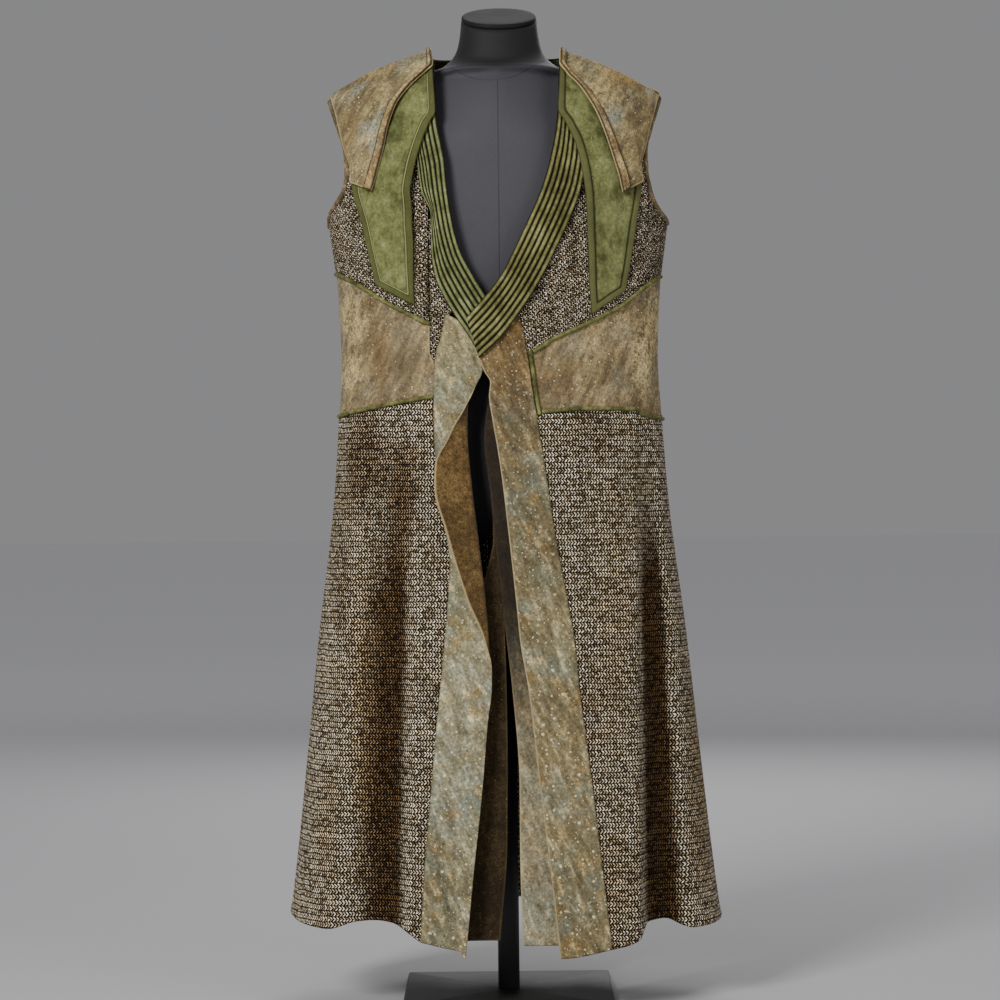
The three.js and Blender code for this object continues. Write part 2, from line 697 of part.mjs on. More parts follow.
add("skirt_front_right", panel({
  side: -1,
  left: (z) => rightBandSeam(z) - tuck,
  right: vestSide(1),
  top: seam(waistBottomSeam, -half),
  bottom: seam(frontHem),
  columns: 12, rows: 12, thick: tweedWall,
}), "tweed");

// ---------- Leather bands and inner flaps of the front opening ----------

// The leg beyond the fold: first an arc, then straight, turning towards the outside.
function turnedLeg(length, turn) {
  const arc = Math.min(length, turnRadius * turn);
  const bend = arc / turnRadius;
  const rest = length - arc;
  return {
    across: turnRadius * Math.sin(bend) + rest * Math.cos(bend),
    out: turnRadius * (1 - Math.cos(bend)) + rest * Math.sin(bend),
    bend,
  };
}

const leftHem = seam(frontHem);
const bodyShare = 0.4;
add("band_left", wall(10, 22, (across, down, layer) => {
  const zTop = lerp(1012, 950, across);
  const bottom = leftHem(lerp(-126, -64, across));
  const z = lerp(zTop, bottom, down);
  const row = (column) => lookup(leftBandRows, "z", column, z);
  const underRibs = smooth(across, 0.02, 0.2) * (1 - smooth(zTop - z, 25, 80));
  const lift = (share) => lerp(layers.bandSeam + 2 * share, seamGap, underRibs);
  if (across <= bodyShare) {
    const share = across / bodyShare;
    return vestPoint(-1, lerp(row("seam") + half, row("fold"), share), z, lift(share) + layer * leatherWall);
  }
  const share = (across - bodyShare) / (1 - bodyShare);
  const turn = THREE.MathUtils.degToRad(row("turn"));
  const leg = turnedLeg(row("leg") * share, turn);
  const normal = vestNormal(-1, row("fold"), z);
  const sideways = new THREE.Vector3(1, 0, 0).addScaledVector(normal, -normal.x).normalize();
  const face = normal.clone().multiplyScalar(Math.cos(leg.bend));
  face.addScaledVector(sideways, -Math.sin(leg.bend));
  return vestPoint(-1, row("fold"), z, lift(1) + leg.out)
    .addScaledVector(sideways, leg.across)
    .addScaledVector(face, layer * leatherWall);
}), "band");
const rightHem = seam(frontHem);
add("band_right", wall(5, 22, (across, down, layer) => {
  const z = lerp(lerp(950, 1016, across), rightHem(lerp(76, 150, across)), down);
  const x = lerp(lookup(rightBandRows, "z", "free", z), lookup(rightBandRows, "z", "seam", z) - half, across);
  return vestPoint(-1, x, z, lerp(layers.bandFree, layers.bandSeam, across) + layer * leatherWall);
}), "band");
add("inner_flap_right", wall(4, 14, (across, down, layer) => {
  const z = lerp(905, 97, down);
  const x = lerp(lookup(rightFlapRows, "z", "free", z), lookup(rightBandRows, "z", "seam", z) + 8, across);
  return vestPoint(-1, x, z, lerp(lerp(-3, -20, down), -0.9, across ** 2) - (1 - layer) * leatherWall);
}), "band");
add("inner_flap_left", wall(4, 12, (across, down, layer) => {
  const z = lerp(718, 104, down);
  const x = lerp(lookup(leftFlapRows, "z", "outer", z), lookup(leftFlapRows, "z", "inner", z), across);
  return vestPoint(-1, x, z, lerp(-9, -30, down) - (1 - layer) * leatherWall);
}), "reverse");

// ---------- Ribbed neck bands ----------

// Round padded channels side by side, each from one stitched valley to the next.
function ribs(across) {
  const place = (across * ribCount) % 1;
  return across === 1 ? 0 : ribHeight * Math.sin(Math.PI * place) ** 0.6;
}

// The front bands' channels are flatter near the shoulder, under the tabs.
function frontRibs(across, down) {
  return ribs(across) * lerp(ribShareAtShoulder, 1, smooth(down, 0.06, 0.3));
}

const ribColumns = ribCount * ribFacets;
add("rib_band_left", strip({
  side: -1,
  from: along(edge(neckEdges, "leftOuter", half), neckTop, 960),
  to: along(edge(neckEdges, "leftNeck"), neckTop, 1006),
  columns: ribColumns, rows: 15, thick: leatherWall,
  lift: () => layers.ribs,
  relief: frontRibs,
}), "suede");
add("rib_band_right", strip({
  side: -1,
  from: along(edge(neckEdges, "rightNeck"), neckTop, 1005),
  to: along(edge(neckEdges, "rightOuter", -half), neckTop, 945),
  columns: ribColumns, rows: 16, thick: leatherWall,
  lift: (across, down) => lerp(layers.ribs, layers.rightRibsAtCrossing, smooth(down, 0.55, 0.8)),
  relief: frontRibs,
}), "suede");

// ---------- Suede tabs and leather shoulder flaps ----------

for (const [name, sign] of [["left", -1], ["right", 1]]) {
  const neckSide = (table) => `${name}${table}`;
  const tabLine = (column) => along(edge(tabRows, neckSide(column)), neckTop, tabTips[neckSide(column)]);
  add(`tab_${name}`, strip({
    side: -1,
    from: tabLine("Inner"),
    to: tabLine("Outer"),
    columns: 8, rows: 16, thick: suedeWall,
    lift: (across, down) => lerp(layers.tabAtNeck, layers.tabAtSide,
      Math.max(smooth(across, 0.38, 0.75), smooth(down, 0.56, 0.74))),
  }), "suede");
  const flapLine = (column) => along(
    edge(flapRows, neckSide(column)),
    Math.min(1420, shoulderHeight(column === "Inner" ? 97 * sign : 250 * sign)),
    flapTips[neckSide(column)],
  );
  const flapLift = (across, down) => lerp(layers.flapAtNeck, layers.flapAtSide,
    Math.max(smooth(across, 0.5, 1), smooth(down, 0.4, 1)));
  add(`shoulder_flap_${name}`, strip({
    side: -1,
    from: flapLine("Inner"),
    to: flapLine("Outer"),
    columns: 8, rows: 14, thick: leatherWall,
    lift: flapLift,
  }), "leather");
  const inner = flapLine("Inner");
  const outer = flapLine("Outer");
  const trimShare = (down) => flapTrimWidth / inner(down).distanceTo(outer(down));
  add(`flap_trim_${name}`, strip({
    side: -1,
    from: inner,
    to: (down) => inner(down).lerp(outer(down), trimShare(down)),
    columns: 1, rows: 14, thick: suedeWall,
    lift: (across, down) => flapLift(across * trimShare(down), down) + leatherWall + 7 * seamGap,
  }), "leather");
}

// ---------- Armhole bindings ----------

for (const [name, sign] of [["left", -1], ["right", 1]]) {
  const steps = 20;
  const line = bindingLine(name, sign);
  const spots = [];
  for (let i = 0; i <= steps; i += 1) spots.push({ side: -1, spot: line(i / steps) });
  for (let i = steps - 1; i > 0; i -= 1) spots.push({ side: 1, spot: line(i / steps) });
  const centres = spots.map(({ side, spot }, i) => {
    const onSeam = i === 0 || i === steps;
    const point = vestPoint(side, spot.x, spot.y, tweedWall / 2);
    return onSeam ? point.setY(0) : point;
  });
  const rings = centres.map((centre, i) => {
    const next = centres[(i + 1) % centres.length];
    const before = centres[(i + centres.length - 1) % centres.length];
    const tangent = next.clone().sub(before).normalize();
    const across = new THREE.Vector3(sign, 0, 0).addScaledVector(tangent, -sign * tangent.x).normalize();
    const up = new THREE.Vector3().crossVectors(tangent, across);
    return Array.from({ length: 6 }, (_, k) => {
      const angle = (k / 6) * 2 * Math.PI;
      return centre.clone()
        .addScaledVector(across, bindingRadius * Math.cos(angle))
        .addScaledVector(up, bindingRadius * Math.sin(angle));
    });
  });
  add(`armhole_binding_${name}`, loft(rings, true), "leather");
}

// ---------- The back ----------

const backNeckLine = (centreZ, sideX) => (x) => {
  const share = clamp(Math.abs(x - vestCentre) / (sideX - 2), 0, 1);
  return lerp(centreZ, shoulderHeight(vestCentre + sideX), share ** 2.2);
};
add("back_yoke", panel({
  side: 1,
  left: leftSide,
  right: rightSide,
  top: backNeckLine(backNeck.seam - half, backNeck.seamSideX),
  bottom: bowed(yokeBottom, half),
  columns: 16, rows: 7, thick: leatherWall,
  lift: (x, z) => layers.shoulderYoke * clamp(1 - (shoulderHeight(x) - z) / 60, 0, 1) ** 1.5
    * smooth(Math.abs(x - vestCentre), 130, 160),
}), "leather");
add("collar_back", wall(14, ribColumns, (across, down, layer) => {
  const x = vestCentre + lerp(-1, 1, across) * lerp(backNeck.sideX, backNeck.seamSideX, down);
  const upper = backNeckLine(backNeck.edge, backNeck.sideX);
  const lower = backNeckLine(backNeck.seam + 4 * seamGap, backNeck.seamSideX - 2);
  const z = lerp(upper(x), lower(x), down);
  return vestPoint(1, x, z, layers.collar + layer * (leatherWall + ribs(down)));
}), "suede");
add("bodice_back", panel({
  side: 1,
  left: leftSide,
  right: rightSide,
  top: bowed(yokeBottom, -half),
  bottom: bowed(backWaistTop, half),
  columns: 14, rows: 6, thick: tweedWall,
}), "tweed");
add("waist_back", panel({
  side: 1,
  left: vestSide(-1),
  right: vestSide(1),
  top: bowed(backWaistTop, -half),
  bottom: bowed(backWaistBottom, half),
  columns: 14, rows: 5, thick: leatherWall,
}), "leather");
for (const [name, left, right] of [
  ["left", vestSide(-1), () => vestCentre - half],
  ["right", () => vestCentre + half, vestSide(1)],
]) {
  add(`skirt_back_${name}`, panel({
    side: 1,
    left,
    right,
    top: bowed(backWaistBottom, -half),
    bottom: seam(backHem),
    columns: 12, rows: 12, thick: tweedWall,
  }), "tweed");
}

// ---------- Piping ----------

const pipingSection = [
  { across: -piping.halfWidth, out: 0 },
  { across: -piping.halfWidth * 0.75, out: piping.height * 0.65 },
  { across: 0, out: piping.height },
  { across: piping.halfWidth * 0.75, out: piping.height * 0.65 },
  { across: piping.halfWidth, out: 0 },
];

function pipe(name, side, spotAt, steps) {
  const lift = tweedWall + 2 * seamGap;
  const rings = Array.from({ length: steps + 1 }, (_, i) => {
    const spot = spotAt(i / steps);
    const ahead = spotAt(Math.min(1, i / steps + 0.01));
    const behind = spotAt(Math.max(0, i / steps - 0.01));
    const tangent = vestPoint(side, ahead.x, ahead.z, 0).sub(vestPoint(side, behind.x, behind.z, 0));
    tangent.normalize();
    const normal = vestNormal(side, spot.x, spot.z);
    const across = new THREE.Vector3().crossVectors(tangent, normal).normalize();
    return pipingSection.map((corner) => vestPoint(side, spot.x, spot.z, lift)
      .addScaledVector(normal, corner.out)
      .addScaledVector(across, corner.across));
  });
  add(name, loft(rings, false), "suede");
}

const onSeam = (line, fromX, toX) => (share) => {
  const zMiddle = line((fromX + toX) / 2);
  const from = angleAt(fromX, zMiddle);
  const to = angleAt(toX, zMiddle);
  const x = xAt(lerp(from, to, share), zMiddle);
  return { x, z: line(x) };
};
pipe("piping_top_left", -1, onSeam(seam(waistTopSeam), -244, -106), 12);
pipe("piping_bottom_left", -1, onSeam(seam(waistBottomSeam), -241, -101), 12);
pipe("piping_top_right", -1, onSeam(seam(waistTopSeam), 44, 236), 14);
pipe("piping_bottom_right", -1, onSeam(seam(waistBottomSeam), 56, 234), 14);
pipe("piping_front_right", -1, (share) => {
  const z = lerp(957, 862, share);
  return { x: lookup(rightBandRows, "z", "seam", z) + 4, z };
}, 5);
pipe("piping_top_back", 1, onSeam(bowed(backWaistTop), -241, 233), 20);
pipe("piping_bottom_back", 1, onSeam(bowed(backWaistBottom), -241, 233), 20);

export default vest;
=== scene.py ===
"""A long sleeveless vest on a dress form. Lengths are millimetres until a mesh is made, in metres."""
import math
import bpy
import numpy as np
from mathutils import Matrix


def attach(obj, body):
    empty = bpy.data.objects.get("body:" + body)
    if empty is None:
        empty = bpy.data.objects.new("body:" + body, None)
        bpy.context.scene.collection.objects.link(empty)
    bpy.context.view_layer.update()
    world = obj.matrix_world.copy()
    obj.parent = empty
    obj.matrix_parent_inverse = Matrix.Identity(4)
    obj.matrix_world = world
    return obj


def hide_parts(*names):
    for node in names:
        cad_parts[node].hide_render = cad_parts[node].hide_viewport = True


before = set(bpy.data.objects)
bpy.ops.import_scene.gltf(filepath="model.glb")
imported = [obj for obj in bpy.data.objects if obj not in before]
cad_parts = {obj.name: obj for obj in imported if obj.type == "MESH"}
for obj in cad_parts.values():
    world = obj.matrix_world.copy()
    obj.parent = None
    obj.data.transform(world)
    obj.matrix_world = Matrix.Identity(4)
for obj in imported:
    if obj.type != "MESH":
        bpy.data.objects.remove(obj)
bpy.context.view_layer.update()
METRE = 1000.0

# ---------- Camera ----------

SENSOR_WIDTH = 36
FOCUS = 2.905  # focal length as a share of the sensor's width
CAMERA_DISTANCE, CAMERA_HEIGHT, CAMERA_ROLL = 4.357, 0.730, 0.0106
CAMERA_SHIFT = (-0.004, 0.006)


def link(name, data):
    made = bpy.data.objects.new(name, data)
    bpy.context.scene.collection.objects.link(made)
    return made


camera_data = bpy.data.cameras.new("Camera")
camera_data.sensor_width = SENSOR_WIDTH
camera_data.lens = SENSOR_WIDTH * FOCUS
camera_data.shift_x, camera_data.shift_y = CAMERA_SHIFT
camera = link("Camera", camera_data)
camera.location = (0, -CAMERA_DISTANCE, CAMERA_HEIGHT)
camera.rotation_euler = (math.pi / 2, CAMERA_ROLL, 0)
bpy.context.scene.camera = camera


# ---------- Tables and the smooth curves through them ----------

def table(columns, *rows):
    """Rows of numbers under named columns."""
    return dict(zip(columns.split(), np.array(rows, float).T))


def lerp(a, b, t):
    return a + (b - a) * t


def smooth(value, low, high):
    share = np.clip((value - low) / (high - low), 0, 1)
    return share * share * (3 - 2 * share)


def bell(away, width):
    return np.exp(-(away / width) ** 2)


def unit(vectors):
    return vectors / np.linalg.norm(vectors, axis=-1, keepdims=True)


def constant(value):
    return lambda at: np.full_like(np.asarray(at, float), value)


def signed_power(value, power):
    return np.sign(value) * np.abs(value) ** power


def running_sum(steps_taken, axis):
    """Sums along one axis of a grid, from 0 at its first line."""
    room = ((1, 0), (0, 0)) if axis == 0 else ((0, 0), (1, 0))
    return np.pad(np.cumsum(steps_taken, axis), room)


def pick(values, index):
    if values.ndim == 1:
        return values[index]
    return np.take_along_axis(values, index[..., None], -1)[..., 0]


def monotone(knots, values, at):
    """A smooth curve through the knots that never overshoots them. Each point may have knots of its own."""
    step = np.diff(knots)
    slope = np.diff(values) / step
    before, after = slope[..., :-1], slope[..., 1:]
    a = 2 * step[..., 1:] + step[..., :-1]
    b = step[..., 1:] + 2 * step[..., :-1]
    turning = before * after <= 0
    safe = lambda s: np.where(turning, 1, s)
    middle = np.where(turning, 0, (a + b) / (a / safe(before) + b / safe(after)))
    tangent = np.concatenate([slope[..., :1], middle, slope[..., -1:]], -1)
    i = np.clip((knots <= at[..., None]).sum(-1) - 1, 0, knots.shape[-1] - 2)
    h = pick(step, i)
    t = np.clip((at - pick(knots, i)) / h, 0, 1)
    values = np.broadcast_to(values, knots.shape)
    ends = (1 + 2 * t) * (1 - t) ** 2 * pick(values, i) + t * t * (3 - 2 * t) * pick(values, i + 1)
    return ends + h * t * (1 - t) ** 2 * pick(tangent, i) - h * t * t * (1 - t) * pick(tangent, i + 1)


def curve(rows, key, column, shift=0):
    order = np.argsort(rows[key])
    knots, values = rows[key][order], rows[column][order]
    return lambda at: monotone(knots, values, np.asarray(at, float)) + shift


# ---------- Sizes of the garment and the form ----------

SEAM_GAP = 0.3
HALF = SEAM_GAP / 2
TWEED, LEATHER, SUEDE = 2.5, 2.0, 1.6
# By finish. The others are LEATHER thick.
THICKNESS = dict(tweed=TWEED, tweed_fine=TWEED, trim=SUEDE, tab_left=SUEDE, tab_right=SUEDE)
CENTRE = -4
SECTION_POWER = 2.3
ARCH_POWER = 1.7
ARCH_HEIGHT = 170
SHOULDER_CLEARANCE = 0.2  # how far the surface stays below the shoulder line
FOLD_TOP, FOLD_BOTTOM, FOLD_DEPTH, FOLD_POWER = 880, 100, 26, 0.8
BACK_SEAM_REACH = 240  # where the bowed seams of the back reach their ends
LINE_STEPS = 241
ARMHOLE_TOP, UNDERARM = 1340, 1150
BINDING_RADIUS = 4
PIPING_WIDTH, PIPING_HEIGHT = 3.0, 4.4
SEAM_SINK, SEAM_WIDTH = 0.9, 2.6
HEM_WIDTH = 13
TRIM_WIDTH, TRIM_GAP = 12, 7 * SEAM_GAP
DART_SEAM, DART_FOOT, DART_RISE = -105.5, 932, 22
STRIP_ENDS = (1150, 936)
NECK_TOP = 1404
CROSSING, CROSSING_BLEND = 1005, 12
TUCK = 2
TURN_RADIUS = 6
RIB_COUNT, RIB_HEIGHT, RIB_SHARE_AT_SHOULDER = 7, 3.6, 0.28
GATHERED_RIBS_WIDTH = 26
BODY_SHARE = 0.4
LEFT_BAND_TOP, LEFT_BAND_FOOT = (1012, 950), (-126, -64)
RIGHT_BAND_TOP, RIGHT_BAND_FOOT = (950, 1016), (76, 150)
BAND_SEAM_LIFT, BAND_FREE_LIFT = 3.1, 6
RIGHT_FLAP_ENDS, LEFT_FLAP_ENDS = (905, 97), (718, 104)
RIB_LIFT, RIGHT_RIB_LIFT, COLLAR_LIFT = 3.9, 10, 2.4
TAB_LIFT = (12.8, 3.8)
FLAP_TOP = 1420
FLAP_LIFT = (17.4, 9.4)
FLAP_REACH = 7  # how much wider the flaps are at the armhole than in the solids
YOKE_LIFT = 7.2
RIM_ROUNDING = 0.22

SECTIONS = table(
    "z half_width front back",
    (60, 328, 192, 215), (185, 311, 184, 200), (355, 292, 171, 179), (535, 273, 157, 158),
    (750, 247, 138, 130), (860, 239.5, 128, 116), (950, 235, 124, 110), (1050, 239, 126, 114),
    (1150, 251, 130, 122), (1260, 262, 128, 124), (1420, 270, 126, 124))
SHOULDER = table(
    "x z", (0, 1462), (70, 1415), (97, 1396), (107, 1393), (150, 1380.5), (200, 1361), (225, 1350),
    (245, 1340), (270, 1327))
FRONT_FOLDS = table(
    "at_waist at_hem out",
    (-246, -330, 0), (-236, -300, 8), (-214, -262, 10), (-186, -212, -14), (-150, -168, -26),
    (-112, -136, 8), (-70, -100, 8), (0, 0, 0), (45, 120, 8), (130, 165, 18), (190, 186, 22),
    (202, 202, -20), (214, 232, -30), (225, 272, 2), (232, 302, 6), (238, 322, 0))
BACK_FOLDS = table(
    "at_waist at_hem out",
    (-246, -330, 0), (-205, -272, 12), (-165, -205, -24), (-110, -135, 14), (-55, -66, -20),
    (-4, -4, 6), (50, 70, -22), (105, 140, 14), (160, 212, -20), (200, 268, 10), (238, 322, 0))
NECK = table(
    "z left_neck left_outer right_neck right_outer",
    (1404, -98, -124, 90, 118), (1374, -94, -125, 86, 120), (1300, -91, -130, 82, 127),
    (1235, -81, -121, 71.5, 124), (1190, -77, -115, 58, 116), (1155, -72, -101, 43, 103),
    (1105, -60, -101, 19, 80), (1065, -40, -96, -2, 60), (1035, -22, -84, -25, 42), (1005, 0, -66.5, -51, 21),
    (975, 20, -47, -75, -2), (945, 40, -30, -96, -33))
LEFT_BAND = table(
    "z seam fold leg turn",
    (1012, -82, -33, 12, 0), (975, -90, -33, 12, 0), (948, -98, -42, 14, 0), (927, -99.5, -45, 16, 0),
    (904, -100, -50, 14, 40), (872, -100.5, -56, 24, 100), (827, -100, -57, 42, 165),
    (789, -98, -54.5, 64, 165), (744, -94, -50.5, 69, 165), (697, -86, -45, 61, 165),
    (651, -79, -40, 53, 165), (595, -82, -34, 41, 165), (536, -87.5, -30, 20, 150),
    (503, -91, -29, 12, 60), (473, -94, -28, 8, 10), (417, -100, -35, 8, 0), (318, -109, -44, 8, 0),
    (203, -120, -57, 8, 0), (80, -127, -70, 8, 0))
RIGHT_BAND = table(
    "z free seam",
    (1016, -60, 22), (1000, -52, 27), (981, -45, 31.5), (950, -36, 36.5), (940, -32, 38),
    (925, -26, 40), (910, -18, 41.5), (890, -20, 44.5), (858, -16, 49.5), (821, -10, 55),
    (764, -2, 63.5), (700, 5, 72), (595, 15.5, 90), (535, 21, 100), (457, 33.5, 107),
    (334, 46.5, 122), (200, 62, 137), (80, 74, 150.5))
RIGHT_FLAP = table(
    "z free", (905, -10), (870, -24), (826, -28), (765, -21), (665, -11.5), (535, 2), (463, 9),
    (329, 17.5), (228, 18), (95, 21))
LEFT_FLAP = table(
    "z outer inner", (720, -16, 8), (685, -16, 7), (622, -30, 3.5), (563, -42, 0), (480, -54, 1),
    (245, -70, 0.7), (103, -76, -11))
TABS = table(
    "z left_inner left_outer right_inner right_outer",
    (1404, -93, -146, 84, 138), (1370, -92.3, -178, 83, 168), (1303, -89.3, -201.5, 79.8, 189),
    (1284, -100.5, -206, 92, 194), (1255, -112.5, -210, 106.2, 198), (1205, -125.8, -216, 118, 205),
    (1147, -130.6, -202, 123, 197), (1100, -127, -192.5, 125.5, 190), (1056, -125.5, -182.3, 126.5, 181.5),
    (1008, -124.3, -173, 129.2, 175))
TAB_TIPS = dict(left_inner=1022, left_outer=1056, right_inner=1008, right_outer=1044)
FLAPS = table(
    "z left_inner left_outer right_inner right_outer",
    (1420, -93, -275, 80, 258), (1372, -89, -256.5, 79.2, 240.5), (1358, -106, -251.5, 91, 235.5),
    (1337, -128, -243, 111.5, 228), (1313, -145.8, -234.3, 127.6, 220.5),
    (1297, -152.5, -230.3, 136.3, 215.2), (1278, -159, -225.3, 144.6, 209.6),
    (1253, -165, -219.6, 154, 204.3), (1230, -172.3, -216, 162, 202.3), (1206, -179.8, -214.2, 169.8, 203),
    (1190, -185.5, -214, 173.4, 203.5))
FLAP_TIPS = dict(left_inner=1193, left_outer=1206, right_inner=1187, right_outer=1203)
ARMHOLES = table(
    "z left right",
    (1341, -259, 243), (1318, -251.5, 236), (1283, -239.5, 224.5), (1251, -231, 217),
    (1220, -229.5, 217.5), (1200, -233, 221.5), (1183, -243, 226), (1165, -257, 237), (1150, -262, 254))
WAIST_TOP = table(
    "x z", (-260, 1086), (-246, 1080), (-219, 1064.5), (-194, 1048), (-170, 1031), (-145, 1017),
    (-105, 996.5), (38, 953.5), (74, 973), (123, 995.5), (172, 1021.5), (211, 1053), (238, 1073),
    (250, 1080))
WAIST_BOTTOM = table(
    "x z", (-250, 864), (-196, 875), (-134, 885.5), (-100, 890), (50, 866.5), (121, 870.5), (192, 870),
    (205, 862), (238, 856.5))
FRONT_HEM = table(
    "x z", (-330, 131), (-300, 121), (-264, 118), (-222, 129), (-195, 131), (-165, 127), (-145, 119),
    (-126, 105), (-64, 82), (76, 80), (151, 92), (185, 102), (200, 124), (225, 126), (271, 112),
    (310, 114), (322, 120))
BACK_HEM = table("x z", (-330, 131), (-205, 122), (-4, 116), (212, 118), (322, 120))
BACK_WAIST_TOP = dict(sides=1079, centre=1052)
BACK_WAIST_BOTTOM = dict(sides=862, centre=876)
YOKE_BOTTOM = dict(sides=1236, centre=1222)
BACK_NECK = dict(seam=1374, edge=1406, side_x=94, seam_side_x=122)

TORSO = table(
    "z half_width front back",
    (690, 168, 78, 84), (700, 186, 92, 98), (740, 200, 102, 106), (840, 198, 101, 100),
    (950, 190, 98, 92), (1050, 200, 106, 100), (1150, 216, 114, 110), (1260, 218, 116, 113),
    (1330, 215, 101, 105), (1395, 215, 68, 80))
TORSO_SHOULDER = table(
    "x z", (0, 1474), (70, 1411), (84, 1397.5), (110, 1388), (150, 1374), (200, 1350), (215, 1340))
TORSO_RINGS = (690, 694, 705, 740, 840, 950, 1050, 1150, 1220, 1270, 1310, 1335, 1352, 1366)
NECK_RINGS = table(
    "z half_width front back lean",
    (1382, 100, 73, 70, 0.05), (1394, 78, 65, 63, 0.13), (1408, 66, 59.5, 60, 0.24), (1428, 60, 57, 59, 0.33),
    (1457, 56.5, 54, 56, 0.404))
TORSO_CENTRE, TORSO_REACH = -3, 215
FORM_SIDES, NECK_POWER = 128, 2.1
NECK_CAP = dict(half_width=56, half_depth=59, tilt=math.radians(22), base=(1, 1457.8))
NECK_CAP_STEPS = ((0, 3.0), (0.4, 1.2), (1.4, 0.2), (2.6, 0), (4.4, 0), (5.6, 0.3), (6.5, 1.2),
                  (6.9, 2.6), (7.0, 6), (6.7, 26))
PLATE_HALF = 155
PLATE_STEPS = ((0, 1.6), (0.5, 0.4), (1.6, 0), (6.4, 0), (7.5, 0.4), (8, 1.6))
POLE_RADIUS = 16
POLE_STEPS = ((8.3, 0.6), (9.1, 0), (200, 0), (450, 0), (688.9, 0), (689.7, 0.6))

# Soft creases in the garment: from one end to the other, how wide and how deep. Troughs are negative.
FRONT_CREASES = table(
    "x0 z0 x1 z1 width depth",
    (-232, 1040, -168, 1002, 9, -1.6), (-236, 1000, -150, 975, 12, -1.2), (-228, 930, -170, 958, 10, -1.5),
    (-205, 905, -140, 925, 9, -1.0), (-160, 1000, -130, 905, 7, 1.3), (-118, 985, -112, 915, 5, -1.1),
    (222, 1045, 150, 985, 10, -1.5), (228, 985, 140, 950, 12, -1.2), (205, 915, 120, 900, 9, -1.2),
    (92, 955, 84, 885, 8, 1.2), (140, 925, 60, 940, 9, -0.8), (-185, 1180, -175, 1075, 10, 1.6),
    (-150, 1160, -150, 1050, 9, -1.4), (205, 1170, 190, 1080, 10, 1.5), (150, 1130, 150, 1020, 9, -1.3),
    (-131, 1190, -124, 1000, 5, -3.0), (-120, 1170, -114, 990, 4, 2.2), (-109, 1100, -106, 990, 4, -2.2),
    (-225, 860, -205, 700, 12, 2.0), (-190, 865, -178, 640, 14, -2.0), (-140, 868, -132, 690, 11, 1.7),
    (120, 850, 132, 650, 13, -1.8), (165, 850, 172, 700, 11, 1.8), (80, 840, 92, 720, 9, 1.2),
    (-290, 420, -296, 190, 16, 2.4), (-235, 520, -262, 200, 18, -2.4), (-178, 480, -196, 240, 15, 2.0),
    (128, 560, 150, 250, 16, -1.8), (262, 470, 300, 220, 15, 2.2), (234, 620, 246, 380, 12, -1.8))
BACK_CREASES = table(
    "x0 z0 x1 z1 width depth",
    (-222, 1040, -120, 990, 12, -1.8), (-210, 950, -90, 930, 13, -1.4), (214, 1040, 100, 985, 12, -1.7),
    (205, 940, 80, 925, 13, -1.4), (-170, 1200, -150, 1090, 12, 1.8), (160, 1200, 140, 1090, 12, 1.8),
    (-60, 1190, -50, 1080, 14, -1.6), (60, 1190, 48, 1080, 14, -1.6), (-190, 840, -200, 600, 14, 2.2),
    (-95, 850, -110, 620, 14, -2.0), (85, 850, 100, 620, 14, 2.0), (180, 840, 200, 600, 14, -2.2),
    (-250, 480, -280, 220, 18, 2.4), (-120, 460, -140, 220, 18, -2.2), (20, 560, 26, 260, 16, 2.0),
    (150, 470, 170, 230, 18, 2.2), (240, 460, 268, 220, 16, -2.2), (-150, 1330, -90, 1290, 16, 1.6),
    (150, 1330, 88, 1290, 16, 1.6), (-40, 1340, -30, 1240, 18, -1.2), (36, 1345, 30, 1250, 18, -1.2))


# ---------- The vest's surface ----------

half_width_at = curve(SECTIONS, "z", "half_width")
front_depth_at = curve(SECTIONS, "z", "front")
back_depth_at = curve(SECTIONS, "z", "back")
shoulder_curve = curve(SHOULDER, "x", "z")


def shoulder_height(x):
    return shoulder_curve(np.abs(x - CENTRE))


def roundness(across):
    return (1 - np.minimum(across, 1) ** SECTION_POWER) ** (1 / SECTION_POWER)


def arch(below):
    rise = np.clip(below / ARCH_HEIGHT, 0, 1)
    return (1 - (1 - rise) ** ARCH_POWER) ** (1 / ARCH_POWER)


def fold_growth(z):
    return np.clip((FOLD_TOP - z) / (FOLD_TOP - FOLD_BOTTOM), 0, 1)


def fold_at_hem(side, x, z):
    """How far the fold that runs through this place stands out where it reaches the hem."""
    folds = FRONT_FOLDS if side < 0 else BACK_FOLDS
    placed = lerp(folds["at_waist"], folds["at_hem"], fold_growth(z)[..., None])
    return monotone(placed, folds["out"], x)


def hollow_at(side, x, z):
    """0 on the open cloth and 1 at the bottom of the deepest fold, where little light comes."""
    return np.clip(-fold_at_hem(side, x, z) / FOLD_DEPTH, 0, 1) * smooth(fold_growth(z), 0.08, 0.4)


def crease_depth(side, x, z):
    """Soft troughs and ridges that fade towards their ends, over a faint unevenness of the cloth."""
    rows = FRONT_CREASES if side < 0 else BACK_CREASES
    total = 0.5 * np.sin(x / 21 + z / 67) + 0.45 * np.sin(x / 33 - z / 49 + 1.3)
    for x0, z0, x1, z1, width, depth in zip(*rows.values()):
        run = np.hypot(x1 - x0, z1 - z0)
        along_x, along_z = (x1 - x0) / run, (z1 - z0) / run
        forward = (x - x0) * along_x + (z - z0) * along_z
        bend = width * 0.5 * np.sin(forward / run * math.pi * 1.4 + x0)
        aside = (x - x0) * along_z - (z - z0) * along_x + bend
        taper = smooth(forward, -0.15 * run, 0.3 * run) * (1 - smooth(forward, 0.7 * run, 1.15 * run))
        total = total + depth * taper * bell(aside, width)
    return total


